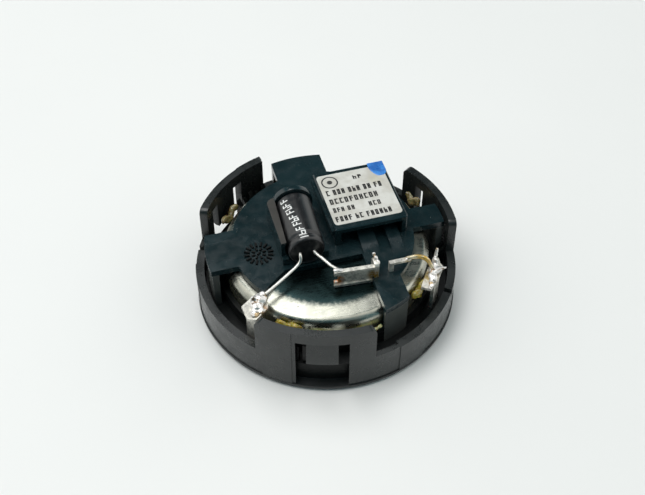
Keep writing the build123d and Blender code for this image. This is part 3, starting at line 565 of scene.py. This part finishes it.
def rounded(profile, radius):
    """An open outline with each inner corner turned into a short arc."""
    result = [profile[0]]
    for before, corner, after in zip(profile, profile[1:], profile[2:]):
        corner_v = Vector(corner)
        to_before = Vector(before) - corner_v
        to_after = Vector(after) - corner_v
        reach = min(radius, to_before.length / 2.2, to_after.length / 2.2)
        start = corner_v + to_before.normalized() * reach
        end = corner_v + to_after.normalized() * reach
        for i in range(ARC_PARTS + 1):
            t = i / ARC_PARTS
            result.append(tuple(start * (1 - t) ** 2 + corner_v * 2 * t * (1 - t) + end * t ** 2))
    result.append(profile[-1])
    return result


def tube_points(path, radii):
    """A closed tube round a path, with a radius at each of its points."""
    points, faces = [], []
    count = len(path)
    sides = TUBE_SIDES
    for i, here in enumerate(path):
        along = (path[min(i + 1, count - 1)] - path[max(i - 1, 0)]).normalized()
        across = along.cross(Vector((0, 0, 1)))
        across.normalize()
        up = across.cross(along)
        for k in range(sides):
            angle = 2 * pi * k / sides
            points.append(here + (across * cos(angle) + up * sin(angle)) * radii[i])
    for i in range(count - 1):
        for k in range(sides):
            a, b = i * sides + k, i * sides + (k + 1) % sides
            faces.append((a, b, b + sides, a + sides))
    faces.append(list(reversed(range(sides))))
    faces.append([(count - 1) * sides + k for k in range(sides)])
    return points, faces


def smooth_path(points):
    """Catmull-Rom curve through the points."""
    vectors = [Vector(p) for p in points]
    padded = [vectors[0] * 2 - vectors[1], *vectors, vectors[-1] * 2 - vectors[-2]]
    path = []
    for a, b, c, d in zip(padded, padded[1:], padded[2:], padded[3:]):
        for i in range(PATH_PARTS):
            t = i / PATH_PARTS
            path.append(0.5 * (2 * b + (c - a) * t + (2 * a - 5 * b + 4 * c - d) * t ** 2
                               + (3 * b - a - 3 * c + d) * t ** 3))
    path.append(vectors[-1])
    return path


def wire(name, points, radius, end_radius, material, node):
    """A slightly uneven wire through the points, which stands for a CAD node."""
    path = smooth_path(points)
    radii = []
    for i, here in enumerate(path):
        share = i / (len(path) - 1)
        wobble = 1 + WIRE_WOBBLE * noise.noise(here * 1.3)
        radii.append((radius + (end_radius - radius) * share ** 3) * wobble)
    add_piece(name, *tube_points(path, radii), material, node, replaces=(node,))


def lumps(name, balls, material, seed, replaces=(), voxel=0.13, ripple=0.2, lowest=None):
    """One uneven mass out of overlapping (centre, radii) balls, cut off below lowest."""
    bm = bmesh.new()
    for centre, radii in balls:
        sizes = Matrix.Diagonal((*[r * MM for r in radii], 1.0))
        place = Matrix.Translation(Vector(centre) * MM) @ sizes
        bmesh.ops.create_icosphere(bm, subdivisions=LUMP_SUBDIVISIONS, radius=1.0, matrix=place)
    mesh = bpy.data.meshes.new(name)
    bm.to_mesh(mesh)
    bm.free()
    piece = bpy.data.objects.new(name, mesh)
    bpy.context.scene.collection.objects.link(piece)
    remesh = piece.modifiers.new("remesh", "REMESH")
    remesh.mode = "VOXEL"
    remesh.voxel_size = voxel * MM
    relax = piece.modifiers.new("relax", "SMOOTH")
    relax.factor = LUMP_RELAX
    relax.iterations = LUMP_RELAX_ROUNDS
    bpy.context.view_layer.update()
    graph = bpy.context.evaluated_depsgraph_get()
    final = bpy.data.meshes.new_from_object(piece.evaluated_get(graph))
    piece.modifiers.clear()
    piece.data = final
    normals = [v.normal.copy() for v in final.vertices]
    for vertex, normal in zip(final.vertices, normals):
        at = vertex.co / MM
        shift = noise.fractal(at * 0.9 + Vector((seed, seed, seed)), 1.0, 2.1, 4)
        vertex.co += normal * shift * ripple * MM
        if lowest is not None:
            vertex.co.z = max(vertex.co.z, lowest * MM)
    final.update()
    final.polygons.foreach_set("use_smooth", [True] * len(final.polygons))
    final.materials.clear()
    final.materials.append(material)
    attach(piece, replaces)


# --- capacitor ---------------------------------------------------------------
CAP_TURN, CAP_LIE_DOWN = Matrix.Rotation(radians(-3), 4, "Z"), Matrix.Rotation(radians(-90), 4, "X")
CAP_FRONT, CAP_BACK = -5.6, 6.2
CAP_LENGTH = CAP_BACK - CAP_FRONT
CAP_AXIS = Matrix.Translation((-4.75, 0, 17.3)) @ CAP_TURN @ CAP_LIE_DOWN
CAP_PLACE = CAP_AXIS @ Matrix.Translation((0, 0, CAP_FRONT))
CAN_RADIUS, SLEEVE_RADIUS = 3.1, 3.25
CRIMP_DEPTH = 0.33
MARK_LIFT = 0.015
PRINT_BACK_ANGLE, PRINT_FRONT_ANGLE = -130.0, -100.0
PRINT_START, PRINT_END = 0.55, 11.0
PRINT_TURN_LENGTH = 9.0     # along the can, over which the print turns from one angle to the other
SIGN_SPAN, SIGN_SIZE, STROKE, PATCH_PARTS = 26, 0.55, 0.2, 4
SIGN_PITCH, GROUP_PITCH = 0.95, 1.3


def can_side(radius):
    """Outline of the can's side from its open end to its closed end, with the crimp."""
    neck = radius - CRIMP_DEPTH
    return [
        (radius - 0.02, 0.3), (radius, 0.6), (radius, 0.95), (radius - 0.16, 1.15), (neck, 1.4),
        (neck, 1.6), (radius - 0.16, 1.85), (radius, 2.1), (radius, CAP_LENGTH - 0.4)]


def build_capacitor():
    """The can, the film shrunk over it and the rubber bung, as (radius, distance) outlines."""
    can = [(0, 1.1), (2.6, 1.1), (2.6, 0.25), (2.66, 0.06), (2.8, 0.0), (3.0, 0.08),
           *can_side(CAN_RADIUS), (2.7, CAP_LENGTH), (0, CAP_LENGTH)]
    add_piece("capacitor_can_shell", *lathe(rounded(can, 0.1), CAP_PLACE), can_metal,
              "capacitor_can", replaces=("capacitor_can",))
    film = [(2.72, -0.03), (2.78, -0.1), (3.02, -0.06), *can_side(SLEEVE_RADIUS),
            (2.9, CAP_LENGTH + 0.07), (2.25, CAP_LENGTH + 0.1), (2.25, CAP_LENGTH + 0.02)]
    add_piece("capacitor_film", *lathe(rounded(film, 0.12), CAP_PLACE, 128), sleeve_film(),
              "capacitor_sleeve", replaces=("capacitor_sleeve",))
    bung = [
        (0, 0.28), (0.7, 0.3), (0.9, 0.42), (1.9, 0.42), (2.1, 0.3), (2.45, 0.36), (2.6, 0.6),
        (2.6, 1.1), (0, 1.1)]
    add_piece("capacitor_bung_rubber", *lathe(rounded(bung, 0.08), CAP_PLACE), bung_rubber,
              "capacitor_bung", replaces=("capacitor_bung",))


def film_radius(along):
    """Radius of the shrunk film at a distance from the can's open end."""
    outline = can_side(SLEEVE_RADIUS)
    for (r0, a0), (r1, a1) in zip(outline, outline[1:]):
        if a0 <= along <= a1:
            return r0 + (r1 - r0) * (along - a0) / (a1 - a0)
    return SLEEVE_RADIUS


def build_capacitor_print():
    """A line of white block signs that spell nothing, along the film."""
    points, faces = [], []

    def patch(angle, along, wide, tall):
        """A curved quad on the film; angle and wide are in degrees."""
        start = len(points)
        turned = (PRINT_END - along) / PRINT_TURN_LENGTH
        angle += PRINT_BACK_ANGLE + (PRINT_FRONT_ANGLE - PRINT_BACK_ANGLE) * turned
        for i in range(PATCH_PARTS + 1):
            here = radians(angle + wide * (i / PATCH_PARTS - 0.5))
            for shift in (-tall / 2, tall / 2):
                r = film_radius(along + shift) + MARK_LIFT
                points.append(CAP_PLACE @ Vector((r * cos(here), r * sin(here), along + shift)))
        for i in range(PATCH_PARTS):
            a = start + 2 * i
            faces.append((a, a + 1, a + 3, a + 2))

    def sign(along, kind):
        """Strokes round the can at both ends of the sign, and along it between them."""
        patch(0, along, SIGN_SPAN, STROKE)
        if kind == 0:
            patch(0, along + SIGN_SIZE, SIGN_SPAN, STROKE)
        if kind in (2, 3):
            patch(6, along + SIGN_SIZE, 14, STROKE)
        for angle, kinds in ((-11, (0, 1, 4)), (11, (0, 2, 3)), (0, (1, 3, 4))):
            if kind in kinds:
                patch(angle, along + 0.28, 4, 0.6)

    along = PRINT_START
    index = 0
    while along < PRINT_END:
        sign(along, (index * 3 + index // 4) % 5)
        along += SIGN_PITCH if index % 3 != 2 else GROUP_PITCH
        index += 1
    white_ink = ink("white_ink", (0.8, 0.8, 0.78), (0.4, 0.4, 0.4))
    add_piece("capacitor_marks", points, faces, white_ink, "capacitor_sleeve", smooth=False)


# --- label -------------------------------------------------------------------
INK_LIFT = 0.012
GLYPH_KINDS, GLYPH_PITCH, GROUP_GAP = 5, 1.45, 0.8    # pitch and gap in widths of a glyph
GLYPH_BAR, GLYPH_SHORT = 0.45, 0.55     # middle bar and short stroke, as shares of the height
RING_INSET = 2.1
RING_INNER, RING_OUTER, DOT_RADIUS, DOT_HOLE = 1.3, 1.56, 0.5, 0.0001


def build_label_print():
    """Rows of block signs that spell nothing, and a ring with a dot, from the label's corner on."""
    points, faces = [], []
    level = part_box("label")[1].z / MM + INK_LIFT
    low, high = low_high("label")

    def quad(x0, x1, y0, y1):
        start = len(points)
        points.extend([(x0, y0, level), (x1, y0, level), (x1, y1, level), (x0, y1, level)])
        faces.append((start, start + 1, start + 2, start + 3))

    def glyph(x, y, wide, tall, pen):
        """A block sign made of strokes that spell nothing."""
        kind = rng.randrange(GLYPH_KINDS)
        quad(x, x + pen, y, y + tall)
        if kind in (0, 2, 4):
            quad(x + wide - pen, x + wide, y, y + tall * (GLYPH_SHORT if kind == 2 else 1.0))
        if kind in (0, 1, 3):
            quad(x, x + wide, y + tall - pen, y + tall)
        if kind in (1, 2, 4):
            quad(x, x + wide, y + tall * GLYPH_BAR, y + tall * GLYPH_BAR + pen)
        if kind in (0, 3):
            quad(x, x + wide, y, y + pen)

    def row(x, y, groups, wide, tall, pen):
        """Groups of glyphs in a line, from (x, y) on."""
        for count in groups:
            for _ in range(count):
                glyph(x, y, wide, tall, pen)
                x += wide * GLYPH_PITCH
            x += wide * GROUP_GAP

    def annulus(x, y, inner, outer, count):
        start = len(points)
        for i in range(count):
            for r in (inner, outer):
                points.append((x + r * cos(2 * pi * i / count), y + r * sin(2 * pi * i / count), level))
        for i in range(count):
            a, b = start + 2 * i, start + 2 * ((i + 1) % count)
            faces.append((a, a + 1, b + 1, b))

    annulus(low.x + RING_INSET, high.y - RING_INSET, RING_INNER, RING_OUTER, 48)
    annulus(low.x + RING_INSET, high.y - RING_INSET, DOT_HOLE, DOT_RADIUS, 24)
    row(low.x + 6.6, high.y - 2.4, (2,), 0.66, 1.0, 0.26)
    row(low.x + 0.7, high.y - 5.5, (1, 3, 3, 2, 2), 0.56, 1.35, 0.27)
    row(low.x + 0.7, high.y - 7.8, (10,), 0.64, 1.35, 0.28)
    row(low.x + 0.7, high.y - 9.9, (3, 2), 0.52, 1.15, 0.24)
    row(low.x + 7.4, high.y - 9.9, (3,), 0.56, 1.15, 0.25)
    row(low.x + 0.5, high.y - 12.3, (4, 2, 6), 0.56, 1.3, 0.27)
    black_ink = ink("black_ink", (0.015, 0.015, 0.015), (0.16, 0.15, 0.14))
    add_piece("label_marks", points, faces, black_ink, "label", smooth=False)


DAB_SHIFT = (0.25, 0.35)
DAB_REACH, DAB_RAGGED = 2.25, 0.16
DAB_STRETCH = (0.8, 1.05)
DAB_RIGHT, DAB_BACK = 14.42, 12.15      # edges of the roof, which the dab ends at
DAB_LEVELS = ((1.0, 18.115), (0.96, 18.15), (0.85, 18.165), (0.5, 18.16), (0.2, 18.155))
DAB_WAVE = 0.012


def build_paint_mark():
    """A dab of marker over the label's corner, with a ragged edge."""
    low, high = low_high("paint_mark")
    centre = Vector(((low.x + high.x) / 2 + DAB_SHIFT[0], (low.y + high.y) / 2 + DAB_SHIFT[1], 0))
    count = 64
    outline = []
    for i in range(count):
        angle = 2 * pi * i / count
        direction = Vector((cos(angle), sin(angle), 0))
        reach = DAB_REACH * (1 + DAB_RAGGED * noise.noise(direction * 1.7 + Vector((3, 1, 0))))
        at = centre + Vector((direction.x * reach * DAB_STRETCH[0], direction.y * reach * DAB_STRETCH[1], 0))
        at.x = min(at.x, DAB_RIGHT)
        at.y = min(at.y, DAB_BACK)
        outline.append(at)
    points, faces = [], []
    for share, z in DAB_LEVELS:
        for at in outline:
            here = centre.lerp(at, share)
            wave = DAB_WAVE * noise.noise(here * 2.0) if share < 1 else 0.0
            points.append((here.x, here.y, z + wave))
    last = len(DAB_LEVELS) - 1
    for level in range(last):
        for i in range(count):
            a, b = level * count + i, level * count + (i + 1) % count
            faces.append((a, b, b + count, a + count))
    faces.append([last * count + i for i in range(count)])
    faces.append(list(reversed(range(count))))
    add_piece("paint_dab", points, faces, marker_paint(), "paint_mark", replaces=("paint_mark",))


# --- wires, solder and glue --------------------------------------------------
LEAD_RADIUS = 0.29
LINK_RADIUS, LINK_END_RADIUS = 0.42, 0.36
SOLDER_LOWEST_LEFT, SOLDER_LOWEST_RIGHT = 13.95, 13.15


def build_wires():
    """Both capacitor leads and the link wire, each bent through its listed points."""
    lead = drawn_metal("lead_tin", (0.78, 0.76, 0.71), 0.36, "Y", 0.6)
    wire("capacitor_lead_left_wire",
         ((-6.3, -4.9, 17.1), (-6.35, -5.9, 16.9), (-6.5, -6.5, 16.2), (-7.3, -7.0, 15.6),
          (-9.3, -8.15, 15.15), (-11.8, -9.6, 14.8), (-14.4, -11.05, 14.55)),
         LEAD_RADIUS, LEAD_RADIUS, lead, "capacitor_lead_left")
    wire("capacitor_lead_right_wire",
         ((-3.8, -4.9, 17.1), (-3.75, -5.8, 17.0), (-3.4, -6.4, 16.8), (-2.7, -7.7, 16.75),
          (-1.9, -9.3, 16.7), (-1.2, -10.5, 16.85)),
         LEAD_RADIUS, LEAD_RADIUS, lead, "capacitor_lead_right")
    link = tinned("link_tin", LINK_STAINS, tint=(0.80, 0.70, 0.50), rough=0.3, dirt=0.2)
    wire("link_wire_strand",
         ((11.5, -11.0, 16.1), (12.8, -11.05, 16.2), (14.0, -11.3, 16.1), (14.9, -11.8, 15.7),
          (15.4, -12.3, 14.9), (15.7, -12.7, 14.2)),
         LINK_RADIUS, LINK_END_RADIUS, link, "link_wire")


def build_solder():
    """Solder on both lugs, on the upright channel, at the right lead's end and the link wire's start."""
    left = [
        ((-15.0, -11.6, 14.5), (1.25, 1.15, 0.85)), ((-15.9, -12.5, 14.35), (1.2, 1.2, 0.55)),
        ((-16.2, -11.6, 14.8), (0.55, 0.5, 0.75)), ((-14.5, -11.0, 14.9), (0.6, 0.55, 0.5)),
        ((-16.6, -14.0, 14.2), (0.8, 1.0, 0.3)), ((-15.3, -13.9, 14.2), (0.5, 0.8, 0.35))]
    right = [
        ((16.1, -12.6, 13.7), (1.05, 1.2, 0.75)), ((16.75, -11.4, 14.2), (0.5, 0.75, 0.85)),
        ((17.1, -10.6, 15.0), (0.26, 0.3, 0.75)), ((17.3, -10.3, 15.7), (0.2, 0.2, 0.6)),
        ((17.0, -13.0, 13.9), (0.95, 0.5, 0.4)), ((17.7, -13.1, 14.0), (0.6, 0.26, 0.24)),
        ((15.4, -14.1, 13.55), (0.75, 1.25, 0.5)), ((14.6, -15.4, 13.4), (0.42, 0.95, 0.35)),
        ((14.0, -16.2, 13.4), (0.3, 0.5, 0.28))]
    lumps("solder_left", left, solder_metal, 1.0, ("solder_joints",),
          lowest=SOLDER_LOWEST_LEFT)
    lumps("solder_right", right, solder_metal, 4.0, ripple=0.16,
          lowest=SOLDER_LOWEST_RIGHT)
    knob = [
        ((5.9, -10.4, 17.35), (0.45, 0.5, 0.4)), ((5.8, -9.6, 17.5), (0.35, 0.35, 0.45)),
        ((6.1, -11.2, 17.0), (0.35, 0.5, 0.35))]
    lumps("solder_knob", knob, solder_metal, 2.0, voxel=0.09, ripple=0.14)
    tack = [((-1.25, -10.75, 16.8), (0.6, 0.5, 0.3)), ((-0.7, -10.9, 16.75), (0.8, 0.4, 0.2))]
    lumps("solder_tack", tack, solder_metal, 6.0, voxel=0.08, ripple=0.1)
    joint = [((12.0, -11.0, 16.0), (0.8, 0.42, 0.34)), ((12.8, -11.05, 16.15), (0.5, 0.4, 0.42))]
    lumps("solder_link", joint, solder_metal, 8.0, voxel=0.09, ripple=0.12)


BALL_STEP = 0.28
BEAD_SWAY, BEAD_LIFT = 0.25, 0.35


def bead(angles, radius, level, thick, tall):
    """Balls for a run of glue round the axis, between two angles."""
    start, end = angles
    count = int(abs(end - start) * radius * pi / 180 / BALL_STEP)
    balls = []
    for i in range(count):
        share = i / (count - 1)
        sway = BEAD_SWAY * sin(share * 9)
        lift = BEAD_LIFT * sin(share * 7 + 1)
        at = polar(radius + sway, start + (end - start) * share, level + lift)
        grow = 0.75 + 0.3 * sin(share * pi) + 0.1 * sin(share * 11)
        balls.append((tuple(at), (thick * grow, thick * grow, tall * grow)))
    return balls


def build_glue():
    """Runs of glue: two at the lugs, one under the front of the cup, two behind the tongues."""
    amber = set_glue("amber_glue", (0.16, 0.12, 0.008), (0.40, 0.31, 0.03))
    pale = set_glue("pale_glue", (0.30, 0.29, 0.10), (0.50, 0.50, 0.28))
    tan = set_glue("tan_glue", (0.13, 0.10, 0.03), (0.30, 0.24, 0.10))
    lumps("glue_right", bead((-54, -40), 19.4, 11.2, 0.62, 1.1), amber, 3.0, ("glue_beads",))
    lumps("glue_left", bead((229, 241), 19.5, 11.0, 0.62, 1.0), amber, 5.0)
    lumps("glue_front", bead((244, 283), 19.25, 8.9, 0.42, 0.5), pale, 9.0)
    lumps("glue_back", bead((130, 143), 20.6, 9.6, 0.55, 0.9), tan, 11.0)
    lumps("glue_side", bead((17, 26), 20.9, 10.6, 0.55, 1.0), tan, 13.0)


# --- moulded marks -----------------------------------------------------------
WHEEL_CENTRE = (-12.7, -0.95, 0)
WHEEL_FLOOR, WHEEL_TOP = 13.95, 14.34
RIB_TAPER, RIB_TOP_SHARE = 0.04, 0.7
OUTER_RIBS, INNER_RIBS, INNER_RIB_TURN = 16, 8, 12
EJECTOR_SINK, EJECTOR_HEIGHT = -0.02, 0.035
EJECTOR_FOOT, EJECTOR_CREST = 0.07, 0.04      # half widths of the rim


def build_mould_mark():
    """A ring of short radial ribs, like a date wheel with nothing written on it."""
    points, faces = [], []

    def rib(inner, outer, angle, half):
        """A rib from the inner to the outer radius, narrower at its top."""
        a = len(points)
        along, across = polar(1, angle), polar(1, angle + 90)
        narrow = half * RIB_TOP_SHARE
        for r, w, z in (
                (inner, half, WHEEL_FLOOR), (outer, half, WHEEL_FLOOR),
                (inner + RIB_TAPER, narrow, WHEEL_TOP), (outer - RIB_TAPER, narrow, WHEEL_TOP)):
            for sign in (-1, 1):
                at = Vector(WHEEL_CENTRE) + along * r + across * w * sign
                points.append((at.x, at.y, z))
        faces.extend([(a, a + 1, a + 3, a + 2), (a + 4, a + 5, a + 7, a + 6), (a, a + 1, a + 5, a + 4),
                      (a + 2, a + 3, a + 7, a + 6), (a, a + 2, a + 6, a + 4), (a + 1, a + 3, a + 7, a + 5)])

    for i in range(OUTER_RIBS):
        rib(1.65, 2.65, i * 360 / OUTER_RIBS, 0.22)
    for i in range(INNER_RIBS):
        rib(0.7, 1.35, i * 360 / INNER_RIBS + INNER_RIB_TURN, 0.2)
    rib(-0.4, 0.4, 40, 0.18)
    add_piece("mould_wheel", points, faces, plastic_inner, "rear_cover", smooth=False)


def build_ejector_marks():
    """Faint raised rims that ejector pins leave on flat plastic."""
    for name, centre, radius, level in (
            ("ejector_rim_right", (18.4, 0.0), 2.1, 14.0), ("ejector_rim_front", (7.5, -15.6), 1.7, 14.0),
            ("ejector_rim_left", (-18.2, 2.6), 2.0, 14.0)):
        profile = [
            (radius - EJECTOR_FOOT, EJECTOR_SINK), (radius - EJECTOR_CREST, EJECTOR_HEIGHT),
            (radius + EJECTOR_CREST, EJECTOR_HEIGHT), (radius + EJECTOR_FOOT, EJECTOR_SINK)]
        points, faces = lathe(profile, Matrix.Translation((*centre, level)), 72)
        add_piece(name, points, faces[:-2], plastic_cover, "rear_cover")    # without the end caps


# --- stage -------------------------------------------------------------------
FLOOR_HALF = 1.2     # metres, like every length in this section
CAMERA_PLACE, CAMERA_AIM = (-0.03628, -0.1242, 0.1501), (0.00220, 0.00997, 0.0)
CAMERA_SENSOR, CAMERA_LENS = 36.0, 58.03
LIGHT_PLACE, LIGHT_AIM, LIGHT_SIZE, LIGHT_POWER = (-0.11, 0.09, 0.50), (0, 0, 0), (0.56, 0.24), 1.75
ROOM_STRENGTH = 1.95
ROOM_DARKEST, ROOM_BRIGHTEST = (0.0, 0.008, 0.011, 1), (0.80, 0.795, 0.77, 1)
ROOM_BETWEEN = ((0.2, (0.05, 0.14, 0.17, 1)), (0.45, (0.34, 0.36, 0.36, 1)))
# Shades of the room: direction, from and to which cosine they change, and their two values.
ROOM_SHADES = (
    ((0.188, 0.655, 0.70), 0.70, 0.92, 1.0, 0.0), ((-0.188, -0.655, 0.30), 0.25, 0.90, 1.0, 0.06),
    ((0.0, 0.0, 1.0), 0.0, 0.8, 0.6, 1.0))


def build_stage():
    """A pale paper floor."""
    mesh = bpy.data.meshes.new("floor")
    corners = [(x * FLOOR_HALF, y * FLOOR_HALF, 0) for x, y in ((-1, -1), (1, -1), (1, 1), (-1, 1))]
    mesh.from_pydata(corners, [], [(0, 1, 2, 3)])
    floor = bpy.data.objects.new("floor", mesh)
    bpy.context.scene.collection.objects.link(floor)
    s = Shader("floor_paper")
    s.set("Base Color", s.mix(s.noise(0.02, 3.0), (0.78, 0.775, 0.76), (0.81, 0.805, 0.79)))
    s.set("Roughness", 0.6)
    mesh.materials.append(s.material)


def add_aimed(name, data, place, aim):
    """A light or camera at a place, aimed at a point."""
    thing = bpy.data.objects.new(name, data)
    thing.location = place
    direction = Vector(aim) - thing.location
    thing.rotation_euler = direction.to_track_quat("-Z", "Y").to_euler()
    bpy.context.scene.collection.objects.link(thing)
    return thing


def build_light():
    """One large soft light above the object, a little behind it and to its left."""
    data = bpy.data.lights.new("key", "AREA")
    data.shape = "RECTANGLE"
    data.size, data.size_y = LIGHT_SIZE
    data.energy = LIGHT_POWER
    add_aimed("key", data, LIGHT_PLACE, LIGHT_AIM)


def build_world():
    """A soft pale room, dark beyond the object and behind the camera, and a little darker low down."""
    world = bpy.data.worlds.new("room")
    bpy.context.scene.world = world
    world.use_nodes = True
    tree = world.node_tree
    background = tree.nodes["Background"]
    coords = tree.nodes.new("ShaderNodeTexCoord")
    shades = []
    for direction, start, end, first, last in ROOM_SHADES:
        dot = tree.nodes.new("ShaderNodeVectorMath")
        dot.operation = "DOT_PRODUCT"
        dot.inputs[1].default_value = Vector(direction).normalized()
        tree.links.new(coords.outputs["Generated"], dot.inputs[0])
        fade = tree.nodes.new("ShaderNodeMapRange")
        fade.interpolation_type = "SMOOTHSTEP"
        fade.inputs["From Min"].default_value = start
        fade.inputs["From Max"].default_value = end
        fade.inputs["To Min"].default_value = first
        fade.inputs["To Max"].default_value = last
        tree.links.new(dot.outputs["Value"], fade.inputs["Value"])
        shades.append(fade.outputs["Result"])
    level = shades[0]
    for shade in shades[1:]:
        product = tree.nodes.new("ShaderNodeMath")
        product.operation = "MULTIPLY"
        tree.links.new(level, product.inputs[0])
        tree.links.new(shade, product.inputs[1])
        level = product.outputs[0]
    tone = tree.nodes.new("ShaderNodeValToRGB")
    tone.color_ramp.elements[0].color = ROOM_DARKEST
    tone.color_ramp.elements[1].color = ROOM_BRIGHTEST
    for place, colour in ROOM_BETWEEN:
        tone.color_ramp.elements.new(place).color = colour
    tree.links.new(level, tone.inputs[0])
    tree.links.new(tone.outputs[0], background.inputs["Color"])
    background.inputs["Strength"].default_value = ROOM_STRENGTH


def build_camera():
    """A camera that looks down at the object from the front left."""
    data = bpy.data.cameras.new("camera")
    data.sensor_width = CAMERA_SENSOR
    data.lens = CAMERA_LENS
    bpy.context.scene.camera = add_aimed("camera", data, CAMERA_PLACE, CAMERA_AIM)


dress_cad_nodes()
build_capacitor()
build_capacitor_print()
build_label_print()
build_paint_mark()
build_wires()
build_solder()
build_glue()
build_mould_mark()
build_ejector_marks()
build_stage()
build_world()
build_camera()
build_light()
bpy.context.scene.view_settings.view_transform = "Standard"
